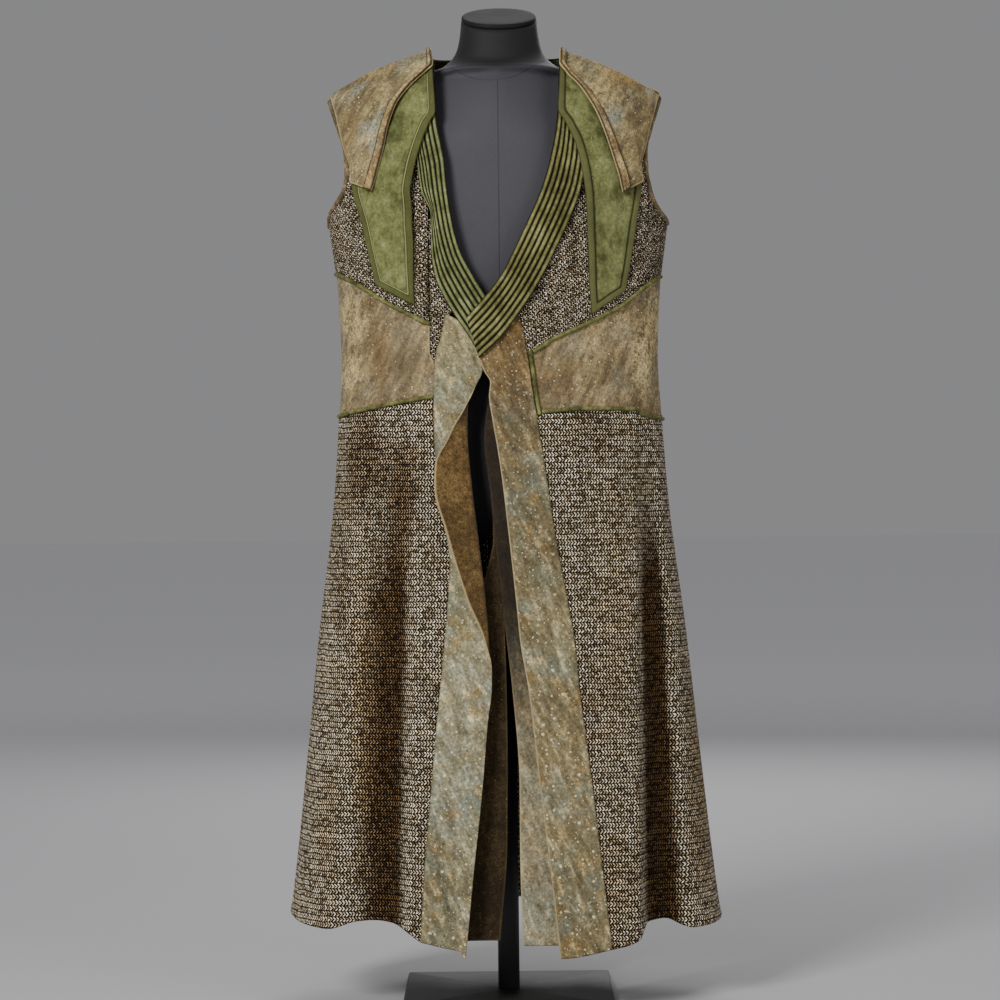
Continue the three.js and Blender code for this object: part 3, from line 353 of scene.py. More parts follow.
def vest_depth(side, x, z):
    """Folds and creases fade out at the side seam, so that front and back meet there."""
    depth = front_depth_at(z) if side < 0 else back_depth_at(z)
    across = np.abs(x - CENTRE) / half_width_at(z)
    shape = roundness(across) * arch(shoulder_height(x) - z)
    folds = fold_at_hem(side, x, z) * fold_growth(z) ** FOLD_POWER * (1 - smooth(across, 0.97, 0.998))
    return depth * shape + folds + crease_depth(side, x, z) * (1 - smooth(across, 0.9, 1))


def vest_normal(side, x, z):
    reach = 0.5
    slope_x = (vest_depth(side, x + reach, z) - vest_depth(side, x - reach, z)) / (2 * reach)
    slope_z = (vest_depth(side, x, z + reach) - vest_depth(side, x, z - reach)) / (2 * reach)
    return unit(np.stack([-slope_x, np.full_like(slope_x, side), -slope_z], -1))


def vest_frame(side, x, z):
    """The point on the base surface and its normal. side is -1 in front and 1 behind."""
    x, z = np.broadcast_arrays(np.asarray(x, float), np.asarray(z, float))
    height = np.minimum(z, shoulder_height(x) - SHOULDER_CLEARANCE)
    point = np.stack([x, side * (vest_depth(side, x, height) + HALF), height], -1)
    return point, vest_normal(side, x, height)


def angle_at(x, z):
    across = (x - CENTRE) / half_width_at(z)
    return np.sign(across) * np.arcsin(np.minimum(np.abs(across), 1) ** (SECTION_POWER / 2))


def x_at(angle, z):
    return CENTRE + half_width_at(z) * np.sign(angle) * np.abs(np.sin(angle)) ** (2 / SECTION_POWER)


def bowed(ends, shift=0):
    """A level seam whose ends rise or drop towards the sides."""
    share = lambda x: np.clip(np.abs(x - CENTRE) / BACK_SEAM_REACH, 0, 1)
    return lambda x: lerp(ends["centre"], ends["sides"], share(x) ** 2) + shift


def along(x_of, z_top, z_bottom):
    """Even steps along an upright edge, by its length."""
    z = np.linspace(z_top, z_bottom, LINE_STEPS)
    x = x_of(z)
    length = np.concatenate([[0], np.cumsum(np.hypot(np.diff(x), np.diff(z)))])
    return lambda share: (np.interp(share * length[-1], length, x), np.interp(share * length[-1], length, z))


# ---------- Finishes, written as arithmetic on node sockets ----------

def linear(*srgb):
    """A colour as the shader takes it, from its 0 to 255 values."""
    channels = [c / 255 for c in srgb]
    return tuple(c / 12.92 if c <= 0.04045 else ((c + 0.055) / 1.055) ** 2.4 for c in channels) + (1.0,)


class Signal:
    """A node's output that takes part in sums."""

    def __init__(self, finish, socket):
        self.finish = finish
        self.socket = socket

    def __add__(self, other): return self.finish.math("ADD", self, other)
    def __sub__(self, other): return self.finish.math("SUBTRACT", self, other)
    def __rsub__(self, other): return self.finish.math("SUBTRACT", other, self)
    def __mul__(self, other): return self.finish.math("MULTIPLY", self, other)
    def __truediv__(self, other): return self.finish.math("DIVIDE", self, other)
    def __pow__(self, other): return self.finish.math("POWER", self, other)
    __radd__, __rmul__ = __add__, __mul__


FINE_GRAIN = (250, 3.0, 0.75)  # noises as scale, detail and roughness
MOTTLE = (110, 4.0, 0.65)
DARK_FLECK, CREAM = (26, 20, 10), (244, 226, 178)


class Finish:
    """A procedural material on one Principled shader. Its coats of colour are given as 0 to 255 values."""

    def __init__(self, name, **fixed):
        self.material = bpy.data.materials.new(name)
        self.material.use_nodes = True
        self.tree = self.material.node_tree
        self.shader = self.tree.nodes["Principled BSDF"]
        for socket, value in fixed.items():
            self.shader.inputs[socket.replace("_", " ")].default_value = value
        self.place = self.node("ShaderNodeTexCoord").outputs["Object"]
        self.x, self.y, self.z = self.split(self.place)
        self.colour = None

    def node(self, kind, settings=None, **inputs):
        made = self.tree.nodes.new(kind)
        for key, value in (settings or {}).items():
            setattr(made, key, value)
        for key, value in inputs.items():
            self.feed(made.inputs[key.replace("_", " ")], value)
        return made

    def feed(self, socket, value):
        if isinstance(value, Signal):
            value = value.socket
        if isinstance(value, bpy.types.NodeSocket):
            self.tree.links.new(value, socket)
        else:
            socket.default_value = value

    def result(self, made, output=0):
        return Signal(self, made.outputs[output])

    def math(self, operation, *values):
        made = self.node("ShaderNodeMath", dict(operation=operation))
        for socket, value in zip(made.inputs, values):
            self.feed(socket, value)
        return self.result(made)

    def size(self, value):
        return self.math("ABSOLUTE", value)

    def whole(self, value):
        return self.math("FLOOR", value)

    def most(self, *values):
        return self.math("MAXIMUM", *values)

    def split(self, vector):
        made = self.node("ShaderNodeSeparateXYZ", Vector=vector)
        return [self.result(made, i) for i in range(3)]

    def join(self, x, y, z=0.0):
        return self.node("ShaderNodeCombineXYZ", X=x, Y=y, Z=z).outputs[0]

    def slanted(self, lean, x, y, z):
        """The place in space squeezed along each axis and leaning, so that a texture on it runs long."""
        return self.join((self.x + self.z * lean) * x, self.y * y, (self.z - self.x * lean) * z)

    def stretched(self, x, y, z):
        return self.join(self.x * x, self.y * y, self.z * z)

    def smooth(self, value, low, high, start=0.0, end=1.0):
        made = self.node("ShaderNodeMapRange", dict(interpolation_type="SMOOTHSTEP"), Value=value,
                         From_Min=low, From_Max=high, To_Min=start, To_Max=end)
        return self.result(made)

    def noise(self, scale, detail=4.0, roughness=0.6, at=None):
        return self.result(self.node("ShaderNodeTexNoise", Vector=at or self.place, Scale=scale,
                                     Detail=detail, Roughness=roughness))

    def cells(self, scale, feature="F1", at=None):
        """Scattered cells. The distance within each is its first output, and a random colour its second."""
        return self.node("ShaderNodeTexVoronoi", dict(feature=feature), Vector=at or self.place, Scale=scale)

    def random(self, *place):
        made = self.node("ShaderNodeTexWhiteNoise", dict(noise_dimensions="3D"), Vector=self.join(*place))
        return self.result(made, "Value")

    def attribute(self, name):
        return self.result(self.node("ShaderNodeAttribute", dict(attribute_name=name)), "Fac")

    def mix(self, first, second, share):
        made = self.node("ShaderNodeMix", dict(data_type="RGBA", blend_type="MIX"))
        self.feed(made.inputs[0], share)
        for i, colour in ((6, first), (7, second)):
            self.feed(made.inputs[i], linear(*colour) if isinstance(colour, tuple) else colour)
        return self.result(made, 2)

    def tinted(self, colour, tint):
        """The colour with each of its channels multiplied."""
        made = self.node("ShaderNodeVectorMath", dict(operation="MULTIPLY"))
        self.feed(made.inputs[0], colour)
        made.inputs[1].default_value = tint
        return self.result(made)

    def lay(self, coat, share):
        self.colour = self.mix(self.colour, coat, share)

    def multiply_tint(self, share, *tint):
        self.lay(self.tinted(self.colour, tint), share)

    def shade(self, factor):
        made = self.node("ShaderNodeVectorMath", dict(operation="SCALE"), Vector=self.colour, Scale=factor)
        self.colour = self.result(made)

    def grainy(self, noise, amount):
        """A factor round 1 that follows a noise and stays above a fifth."""
        return self.most(1 + (noise - 0.5) * amount, 0.2)

    def flecks(self, size, spacing, rare, rough, more=0.0):
        """Small ragged dots, size across and about spacing apart in millimetres. rough is a noise."""
        cells = self.cells(METRE / spacing)
        chance = self.split(cells.outputs["Color"])[0]
        ragged = self.result(cells, "Distance") * spacing + (rough - 0.5) * size * 2.8
        return self.smooth(ragged, size, size * 0.5) * self.smooth(chance + more, rare, rare + 0.06)

    def spot(self, x, z, wide, tall):
        """1 in the middle of an upright ellipse on the garment, fading to 0 at its edge."""
        aside, up = (self.x - x / METRE) / (wide / METRE), (self.z - z / METRE) / (tall / METRE)
        return self.smooth((aside ** 2 + up ** 2) ** 0.5, 1.0, 0.2)

    def pebbles(self, cell, deep):
        """The height of pebbled leather, rounded cells, and how deep a place is in the valleys between them."""
        bent = self.noise(170, 2.0, 0.55)
        at = self.join(self.x + bent * 0.004, self.y, self.z + bent * 0.004)
        valley = self.result(self.cells(METRE / cell, "DISTANCE_TO_EDGE", at), "Distance")
        return self.smooth(valley, 0.0, 0.22) * deep, self.smooth(valley, 0.08, 0.0)

    def finish(self, roughness, height):
        """height is in millimetres."""
        bump = self.node("ShaderNodeBump", Height=height, Strength=1.0, Distance=1 / METRE)
        ends = {"Base Color": self.colour, "Roughness": roughness, "Normal": bump.outputs[0]}
        for name, value in ends.items():
            self.feed(self.shader.inputs[name], value)
        return self.material


def tweed(name, row_height, pitch, loose, turn=0.0, warm=(), painted_shade=(), bright=1.0):
    """Braided rows: short cream and brown dashes meet in chevrons along each row, dark specks between them.
    turn tilts the rows, in radians. warm gives ochre patches and dim gives patches of painted shade, each (x,
    z, wide, tall, share)."""
    f = Finish(name, Specular_IOR_Level=0.12)
    u, v = (part * METRE for part in f.split(f.node("ShaderNodeUVMap").outputs[0])[:2])
    u, v = u * math.cos(turn) + v * math.sin(turn), v * math.cos(turn) - u * math.sin(turn)
    wobble, ripple = f.noise(38, 2.0, 0.55) - 0.5, f.noise(170, 2.0, 0.55) - 0.5
    slip = f.noise(210, 2.0, 0.6, f.join(f.z + 3.0, f.x, f.y)) - 0.5
    rows = (v + wobble * 5 + ripple * loose) / row_height
    row = f.whole(rows)
    up = rows - row
    arm = row * 2 + f.math("GREATER_THAN", up, 0.5)
    outwards = f.size(up - 0.5) * 2
    dashes = (u + wobble * 3 + slip * loose * 1.3) / pitch + outwards * 0.8 + f.random(row, 0.0, 5.0) * 0.35
    dash = f.whole(dashes)
    aside = f.size(dashes - dash - 0.5) * 2
    tone, shine = f.random(dash, arm, 3.0), f.random(dash, arm, 7.0)
    body = f.smooth(aside, 0.66, 0.3) * f.smooth(outwards, 1.02, 0.56)
    body = body * f.smooth(outwards, -0.06, 0.14, 0.7, 1.0)
    # crown is the raised middle of each dash. The colour and the cream coat are laid most there, a painted
    # highlight on top of the yarn's own cream.
    crown = f.smooth(aside, 0.5, 0.1) * f.smooth(f.size(outwards - 0.5), 0.5, 0.2)
    fibre, patch, broad = f.noise(900, 2.0, 0.55), f.noise(22, 3.0, 0.55), f.noise(70, 2.0, 0.55)
    yarn = f.mix((112, 94, 68), (206, 188, 156), f.smooth(tone, 0.0, 0.8))
    yarn = f.mix(yarn, (255, 244, 220), f.smooth(tone * 0.3 + shine * 0.7, 0.4, 0.8) * (0.3 + crown * 0.7))
    ochre = f.smooth(patch + (shine - 0.5) * 0.2, 0.55, 0.72) * 0.5
    for *spot, share in warm:
        ochre = f.most(ochre, f.spot(*spot) * f.smooth(broad + shine * 0.4, 0.4, 0.8) * share)
    yarn = f.mix(yarn, f.tinted(yarn, (0.82, 0.66, 0.4)), ochre)
    f.colour = f.mix((6, 3, 0), yarn, body * (0.6 + crown * 0.4))
    each_row = f.random(row, 2.0, 9.0) * 0.24 + 0.88
    f.shade((1 + (fibre - 0.5) * 1.2) * (1 + (broad - 0.5) * 0.9) * each_row * bright)
    # Painted shade: the listed patches are darkened, below the waist at the top of the skirt and along creases
    # in the bodice.
    for *spot, share in painted_shade:
        f.multiply_tint(f.spot(*spot) * share, 0.35, 0.28, 0.2)
    # Painted shade: the cloth is darkened in the fold hollows.
    f.multiply_tint(f.smooth(f.attribute("hollow") + (patch - 0.5) * 0.3, 0.0, 0.9), 0.2, 0.135, 0.075)
    # Painted shade along the seams, at the cloth's edges.
    f.shade(f.smooth(f.attribute("edge"), 0.4, 2.2, 0.45, 1.0))
    return f.finish(0.85, body * 1.4 + crown * 0.9 + fibre * 0.1)


def leather(name, dark, middle, bright, cold, stains=(), specks=1.0, edge_tone=(196, 174, 122), lean=0.5,
            rim=3.0, rim_share=0.6):
    """Aged, hand-painted leather: soft slanted streaks, cold and warm patches, fine grain, cream specks.
    stains are (x, z, wide, tall, colour, share)."""
    f = Finish(name, Specular_IOR_Level=0.35, Sheen_Weight=0.04)
    height, valley = f.pebbles(2.8, 0.3)
    cloud, other = f.noise(12), f.noise(17, at=f.join(f.x + 7.0, f.y, f.z))
    streak = f.noise(1.0, at=f.slanted(lean, 85, 40, 22))
    mottle, fine = f.noise(95, roughness=0.65), f.noise(*FINE_GRAIN)
    f.colour = f.mix(dark, middle, f.smooth(cloud * 0.55 + streak * 0.35 + mottle * 0.1, 0.3, 0.6))
    f.lay(bright, f.smooth(cloud * 0.4 + streak * 0.45 + mottle * 0.15, 0.46, 0.7))
    f.lay(cold, f.smooth(other * 0.85 + mottle * 0.15, 0.47, 0.68) * 0.6)
    for *spot, tint, share in stains:
        f.lay(tint, f.spot(*spot) * f.smooth(mottle + (fine - 0.5) * 0.5, 0.32, 0.6) * share)
    f.shade(f.grainy(fine, 2.8) * (1 + (mottle - 0.5) * 0.8) * (1 + (streak - 0.5) * 1.6))
    f.lay((38, 28, 14), valley * f.smooth(mottle, 0.35, 0.6) * 0.25)
    f.lay(CREAM, f.flecks(1.2, 6.5, 0.5, fine) * specks * 0.85)
    f.lay(DARK_FLECK, f.flecks(1.0, 9.3, 0.6, fine) * 0.5)
    # A coat along the edges: the pale cut edge, or on the trim a dark edge that is painted shade beside its
    # roll.
    f.lay(edge_tone, f.smooth(f.attribute("edge") + (fine - 0.5) * 3, rim, rim * 0.3) * rim_share)
    # Painted shade: the leather is darkened in the fold hollows.
    f.shade(f.smooth(f.attribute("hollow"), 0.1, 1.0, 1.0, 0.4))
    return f.finish(0.5 + fine * 0.35, height + fine * 0.9 + mottle * 0.6)


def painted_leather(name, ground, ochre, cold, pale, top_tint, top=(0.9, 0.99), flecks=1.0, shaded_above=None,
                    stains=()):
    """Grey-blue and sand painted leather with ochre blotches, slanted wear and cream paint flecks lower down.
    stains are patches where the colour is multiplied by a tint, (x, z, wide, tall, tint)."""
    f = Finish(name, Specular_IOR_Level=0.3, Sheen_Weight=0.04)
    height, valley = f.pebbles(2.4, 0.2)
    cloud, blotch, mottle = f.noise(13), f.noise(34, roughness=0.65), f.noise(*MOTTLE)
    fine = f.noise(*FINE_GRAIN)
    streak = f.noise(1.0, roughness=0.62, at=f.slanted(0.45, 90, 50, 24))
    f.colour = f.mix(ground, cold, f.smooth(cloud * 0.5 + streak * 0.5, 0.44, 0.6) * 0.9)
    f.lay(ochre, f.smooth(blotch * 0.5 + streak * 0.3 + cloud * 0.2, 0.48, 0.62) * 0.85)
    f.lay(pale, f.smooth(streak * 0.6 + mottle * 0.4, 0.5, 0.68) * 0.75)
    f.lay(top_tint, f.smooth(f.z + (blotch - 0.5) * 0.12, *top) * 0.85)
    for *spot, tint in stains:
        f.multiply_tint(f.spot(*spot), *tint)
    f.shade(f.grainy(fine, 2.8) * (1 + (mottle - 0.5) * 0.9) * (1 + (streak - 0.5) * 2.6))
    f.lay((44, 34, 18), valley * 0.15)
    lower, crowd = f.smooth(f.z, 0.85, 0.3, 0.3, 1.0), f.smooth(blotch, 0.4, 0.6)
    paint = f.flecks(1.1, 5.2, 0.66, fine, crowd * 0.25)
    for size, spacing, rare in ((1.9, 8.5, 0.58), (2.9, 18.0, 0.62)):
        paint = f.most(paint, f.flecks(size, spacing, rare, fine, crowd * 0.2) * lower)
    paint = paint * flecks
    f.lay((240, 228, 190), paint * 0.9)
    # A pale line along the free cut edge, the leather's own pale core. On the left band it runs along the fold
    # instead, where it is a painted highlight.
    f.lay((218, 196, 146), f.smooth(f.attribute("free") + (fine - 0.5) * 3.0, 2.4, 0.6) * 0.75)
    # Painted shade along the edges, where the band meets what lies under it.
    f.shade(f.smooth(f.attribute("edge"), 0.3, 2.5, 0.6, 1.0))
    # Painted shade: a piece that hangs inside the vest is darkened towards its top.
    if shaded_above is not None:
        f.multiply_tint(f.smooth(f.z, *shaded_above), 0.075, 0.05, 0.025)
    return f.finish(0.55 + fine * 0.3, height + paint * 0.4 + streak * 1.2 + fine * 0.8)


def suede(name, deep, middle, light, line=None, rim=None):
    """Napped leather, brushed in patches. A tab has a stitched groove with painted shade beside it, a line of
    the given colour along it, and a border of its own tone.
    """
    f = Finish(name, Sheen_Weight=0.06, Sheen_Roughness=0.45, Specular_IOR_Level=0.1)
    cloud, nap = f.noise(24, roughness=0.62), f.noise(240, 3.0, 0.75)
    brushed = f.noise(1.0, roughness=0.62, at=f.stretched(120, 70, 60))
    f.colour = f.mix(deep, middle, f.smooth(cloud * 0.5 + brushed * 0.5, 0.38, 0.52))
    f.lay(light, f.smooth(brushed * 0.6 + cloud * 0.4, 0.5, 0.68) * 0.85)
    f.shade(f.grainy(nap, 1.6) * (1 + (cloud - 0.5) * 1.2))
    f.lay((190, 196, 150), f.flecks(1.1, 9.0, 0.6, nap) * 0.5)
    if line is None:
        # Painted shade darkens the valleys between the ribs, and a painted highlight lightens their crowns.
        valley = f.attribute("valley")
        f.shade(f.smooth(valley, 0.2, 0.9, 1.15, 0.05))
        f.lay(light, f.smooth(valley, 0.3, 0.0) * f.smooth(brushed, 0.42, 0.6) * 0.5)
    else:
        edge = f.attribute("edge")
        away = f.size(edge - TRIM_WIDTH)
        f.lay(rim, f.smooth(edge, TRIM_WIDTH + 0.6, TRIM_WIDTH - 1.2) * 0.8)
        # Painted shade on both sides of the groove, then the line along it.
        f.lay((30, 32, 14), f.smooth(away, 3.4, 1.0) * 0.55)
        f.lay(line, f.smooth(away, 1.1, 0.5) * 0.8)
        # Painted shade along the tab's edges.
        f.shade(f.smooth(edge, 0.2, 2.0, 0.45, 1.0))
    return f.finish(0.88, nap * 0.3 + brushed * 0.4 + cloud * 0.8)


def reverse(name, shade):
    """The rough brown back of the band's leather. shade is painted shade: it darkens a piece that hangs in
    shadow inside the vest, and its pale cut edge more.
    """
    f = Finish(name, Sheen_Weight=0.1, Sheen_Roughness=0.5, Specular_IOR_Level=0.2)
    cloud, mottle, fine = f.noise(14), f.noise(*MOTTLE), f.noise(420, 3.0, 0.7)
    f.colour = f.mix((92, 70, 38), (122, 97, 56), f.smooth(cloud * 0.6 + mottle * 0.4, 0.42, 0.6))
    f.shade(f.grainy(fine, 3.6) * (1 + (mottle - 0.5) * 1.2) * shade)
    f.lay((176, 150, 98), f.flecks(0.8, 5.0, 0.6, fine) * 0.6)
    f.lay((206, 184, 134), f.smooth(f.attribute("edge") + (fine - 0.5) * 2.4, 3.4, 1.2) * 0.9 * shade ** 2)
    return f.finish(0.85, fine * 0.4 + mottle * 0.4)


def cut_edge(name):
    """The pale raw edge of the leather."""
    f = Finish(name, Specular_IOR_Level=0.2)
    fibre = f.noise(700, 3.0, 0.7)
    f.colour = f.mix((150, 126, 84), (218, 200, 158), f.smooth(fibre, 0.4, 0.65))
    return f.finish(0.85, fibre * 0.3)


def form_cloth(name, thread=1.3):
    """Close charcoal cloth drawn over the form, with its centre seam and the seam round its neck."""
    f = Finish(name, Sheen_Weight=0.12, Sheen_Roughness=0.4, Specular_IOR_Level=0.3)
    upright, level = (f.math("SINE", along_it * METRE * 2 * math.pi / thread) for along_it in (f.x, f.z))
    weave = upright * level
    lint = f.noise(600, 3.0, 0.7)
    x, z = f.x * METRE, f.z * METRE
    neck_line = z - (1358.6 + x * x * 0.0058 + x * 0.12)
    f.colour = f.mix((68, 67, 72), (30, 30, 31), f.smooth(neck_line, -2.0, 32.0))
    f.shade(1 + (lint - 0.5) * 0.7 + weave * 0.06)
    # The cloth is darker above the neck seam. Below the waist, where the form hangs inside the vest, it is
    # darkened as painted shade.
    f.shade(f.smooth(f.z, 1.355, 1.39, 1.0, 0.68) * f.smooth(f.z, 0.93, 0.99, 0.3, 1.0))
    centre_seam = f.smooth(f.size(x + 2.5), 1.2, 0.3) * f.smooth(neck_line, 2.0, 0.0)
    seam = f.most(centre_seam, f.smooth(f.size(neck_line), 1.3, 0.4)) * f.smooth(f.y, 0.03, 0.0)
    f.shade(1 - seam * 0.3)
    return f.finish(0.66, weave * 0.06 + lint * 0.08 - seam * 0.4)


def smooth_black(name, tone, roughness, scratch, shine):
    """Powder coat or satin plastic: a fine orange-peel with faint scuffs."""
    f = Finish(name, Specular_IOR_Level=shine)
    scuff = f.noise(1.0, roughness=0.7, at=f.stretched(30, 30, 260))
    f.colour = f.mix(tone, tuple(c + 16 for c in tone), f.smooth(scuff, 0.55, 0.8) * scratch)
    return f.finish(roughness + (scuff - 0.5) * 0.15, f.noise(900, 2.0, 0.55) * 0.06)


finishes = dict(
    tweed=tweed(
        "tweed", 8.0, 4.5, 2.0, bright=1.95,
        painted_shade=((-205, 800, 50, 130, 0.9), (-150, 760, 40, 110, 0.9), (-240, 640, 26, 160, 0.5),
             (130, 835, 60, 60, 0.4)),
        warm=((160, 560, 34, 330, 0.55), (-206, 430, 34, 330, 0.9), (285, 330, 30, 260, 0.7),
              (-150, 690, 26, 160, 0.6), (-262, 260, 24, 160, 0.6), (150, 190, 60, 110, 0.6))),
    tweed_fine=tweed(
        "tweed_fine", 5.6, 4.2, 4.5, turn=0.7, bright=1.6,
        painted_shade=((-128, 1110, 7, 110, 0.9), (-152, 1150, 8, 70, 0.5), (-107, 1050, 5, 80, 0.7),
             (104, 1120, 12, 90, 0.5))),
    flap=leather(
        "flap_leather", (102, 86, 54), (142, 126, 86), (180, 162, 112), (140, 146, 134),
        edge_tone=(206, 180, 122), lean=-0.6, stains=(
            (-190, 1385, 80, 24, (172, 142, 82), 0.8), (-225, 1280, 22, 60, (122, 100, 62), 0.8),
            (190, 1365, 70, 26, (158, 128, 72), 0.8), (205, 1270, 26, 70, (100, 82, 48), 0.8),
            (-150, 1330, 26, 60, (100, 88, 58), 0.7), (225, 1300, 18, 60, (92, 74, 42), 0.7),
            (150, 1330, 30, 40, (186, 164, 110), 0.7))),
    # The trim's dark edge_tone is painted shade along the edges of its roll.
    trim=leather(
        "trim_leather", (118, 94, 56), (156, 130, 82), (206, 182, 128), (150, 140, 106),
        edge_tone=(52, 38, 20), rim=3.2, rim_share=0.9),
    binding=leather(
        "binding_leather", (84, 66, 42), (108, 90, 60), (140, 120, 82), (104, 98, 78), specks=0.6),
    waist=leather(
        "waist_leather", (108, 88, 56), (136, 117, 82), (166, 146, 102), (118, 116, 96), lean=-0.45, stains=(
            (-180, 950, 20, 70, (112, 84, 46), 0.85), (-222, 1010, 36, 50, (196, 172, 116), 0.7),
            (-228, 930, 34, 44, (200, 176, 120), 0.7), (-140, 950, 30, 60, (112, 104, 78), 0.8),
            (-145, 945, 40, 55, (100, 86, 58), 0.8), (80, 930, 40, 60, (116, 92, 52), 0.6),
            (206, 945, 26, 80, (208, 186, 134), 0.8), (226, 1000, 26, 70, (200, 178, 122), 0.7),
            (150, 1000, 50, 24, (170, 146, 96), 0.6))),
    band=painted_leather(
        "band_leather", (148, 140, 108), (142, 116, 62), (128, 136, 122), (204, 190, 148), (166, 150, 112),
        stains=(
            (-75, 950, 60, 100, (0.75, 0.75, 0.68)), (-100, 180, 70, 150, (0.66, 0.64, 0.58)),
            (-60, 600, 40, 110, (0.9, 0.9, 0.82)))),
    band_right=painted_leather(
        "right_band_leather", (130, 116, 80), (128, 100, 48), (118, 124, 106), (186, 166, 118), (108, 84, 46),
        top=(0.76, 0.98), stains=(
            (10, 860, 70, 110, (0.74, 0.74, 0.76)), (40, 700, 60, 160, (0.76, 0.74, 0.7)),
            (90, 160, 60, 130, (0.82, 0.82, 0.82)), (10, 1000, 40, 60, (0.85, 0.8, 0.62)))),
    inner=painted_leather(
        "inner_leather", (150, 138, 106), (136, 112, 68), (134, 138, 120), (178, 164, 124), (90, 72, 40),
        flecks=0.4, shaded_above=(0.3, 0.6)),
    reverse=reverse("reverse_leather", 0.78),
    # A darker copy for the left inner flap: painted shade inside the vest.
    reverse_inside=reverse("inner_reverse_leather", 0.22),
    cut=cut_edge("cut_edge"),
    # The left tab's pale line is a painted highlight along its stitched groove.
    tab_left=suede(
        "tab_suede_left", (84, 87, 50), (108, 112, 68), (134, 138, 94), line=(148, 148, 100), rim=(76, 78, 42)),
    tab_right=suede(
        "tab_suede_right", (82, 85, 50), (108, 111, 68), (134, 136, 92), line=(28, 30, 14), rim=(92, 92, 56)),
    ribs_left=suede("rib_suede_left", (92, 96, 58), (108, 113, 70), (140, 145, 102)),
    ribs=suede("rib_suede", (94, 90, 50), (112, 110, 66), (146, 142, 96)),
    piping=suede("piping_suede", (66, 66, 34), (96, 96, 54), (136, 134, 86)),
    form_cloth=form_cloth("form_cloth"),
    cap=smooth_black("cap_satin", (30, 30, 31), 0.62, 0.2, 0.12),
    steel=smooth_black("black_steel", (44, 44, 43), 0.5, 0.4, 0.4),
)
SLOTS = {finish: slot for slot, names in dict(
    tweed="tweed tweed_fine", leather="flap trim binding waist", band_leather="band band_right inner",
    reverse_leather="reverse reverse_inside", suede="tab_left tab_right ribs_left ribs piping",
    form_cloth="form_cloth", form_cap="cap", steel="steel").items() for finish in names.split()}


# ---------- Meshes ----------

def grid_quads(index):
    return np.stack([index[:-1, :-1], index[:-1, 1:], index[1:, 1:], index[1:, :-1]], -1).reshape(-1, 4)


def make_piece(node, points, faces, materials, looks=None, uv=None, **marks):
    """looks is each face's place in materials; marks are numbers kept at each point for the finish."""
    mesh = bpy.data.meshes.new(f"{node}_cloth")
    mesh.from_pydata((points / METRE).tolist(), [], faces)
    mesh.polygons.foreach_set("use_smooth", np.ones(len(faces), bool))
    if looks is not None:
        mesh.polygons.foreach_set("material_index", looks)
    for material in materials:
        mesh.materials.append(finishes[material])
    if uv is not None:
        corners = np.empty(len(mesh.loops), int)
        mesh.loops.foreach_get("vertex_index", corners)
        mesh.uv_layers.new(name="UVMap").data.foreach_set("uv", uv[corners].ravel().astype(np.float32))
    for mark, values in marks.items():
        values = np.full(len(points), values, np.float32)
        mesh.attributes.new(mark, "FLOAT", "POINT").data.foreach_set("value", values)
    mesh.update()
    piece = link(mesh.name, mesh)
    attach(piece, "root")
    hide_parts(node)
    return piece


def tube(node, rings, material, closed=False):
    """A skin through rings of points, closed on itself or ended with flat caps."""
    count, sides = rings.shape[:2]
    index = np.arange(count * sides).reshape(count, sides)
    index = np.concatenate([index, index[:, :1]], 1)
    points = rings.reshape(-1, 3)
    caps = []
    if closed:
        index = np.concatenate([index, index[:1]])
    else:
        first, last = len(points), len(points) + 1
        points = np.concatenate([points, [rings[0].mean(0), rings[-1].mean(0)]])
        start, end = index[0].tolist(), index[-1].tolist()
        caps = [[b, a, first] for a, b in zip(start, start[1:])]
        caps += [[a, b, last] for a, b in zip(end, end[1:])]
    quads = grid_quads(index)
    a, b, c, d = (points[quads[:, k]] for k in range(4))
    volume = np.einsum("ij,ij->i", a, np.cross(b, c) + np.cross(c, d)).sum()
    faces = quads.tolist() + caps
    if volume < 0:
        faces = [face[::-1] for face in faces]
    make_piece(node, points, faces, [material], edge=9.0, valley=0.3)


def cell_grid(columns, width, rows, height):
    """Shares across and down, with one line just inside each edge, where the cut edge rounds over."""
    def steps(count, length):
        inset = min(0.9 / length, 0.2 / count)
        return np.concatenate([[0], np.linspace(inset, 1 - inset, count + 1), [1]])
    return np.meshgrid(steps(columns, width), steps(rows, height))


def edge_distances(grid):
    """How far each point of a sheet is from each of its sides and from the nearest."""
    left = running_sum(np.linalg.norm(np.diff(grid, axis=1), axis=-1), 1)
    top = running_sum(np.linalg.norm(np.diff(grid, axis=0), axis=-1), 0)
    sides = dict(left=left, right=left[:, -1:] - left, top=top, foot=top[-1:] - top)
    return dict(sides, edge=np.minimum.reduce(list(sides.values())))


def shell_faces(inner, outer):
    """The faces of a closed sheet, turned outwards, and which of them are its back and its cut edge."""
    rows, columns = outer.shape[:2]
    count = rows * columns
    index = np.arange(count).reshape(rows, columns)
    rim = np.concatenate([index[0, :-1], index[:-1, -1], index[-1, :0:-1], index[:0:-1, 0]])
    following = np.roll(rim, -1)
    top = grid_quads(index)
    cut = np.stack([following, rim, rim + count, following + count], -1)
    faces = np.concatenate([top, top[:, ::-1] + count, cut])
    row, column = rows // 2, columns // 2
    middle = outer[row, column]
    facing = np.cross(outer[row, column + 1] - middle, outer[row + 1, column] - middle)
    if np.dot(facing, middle - inner[row, column]) < 0:
        faces = faces[:, ::-1]
    return faces, np.repeat([0, 1, 2], [len(top), len(top), len(rim)])


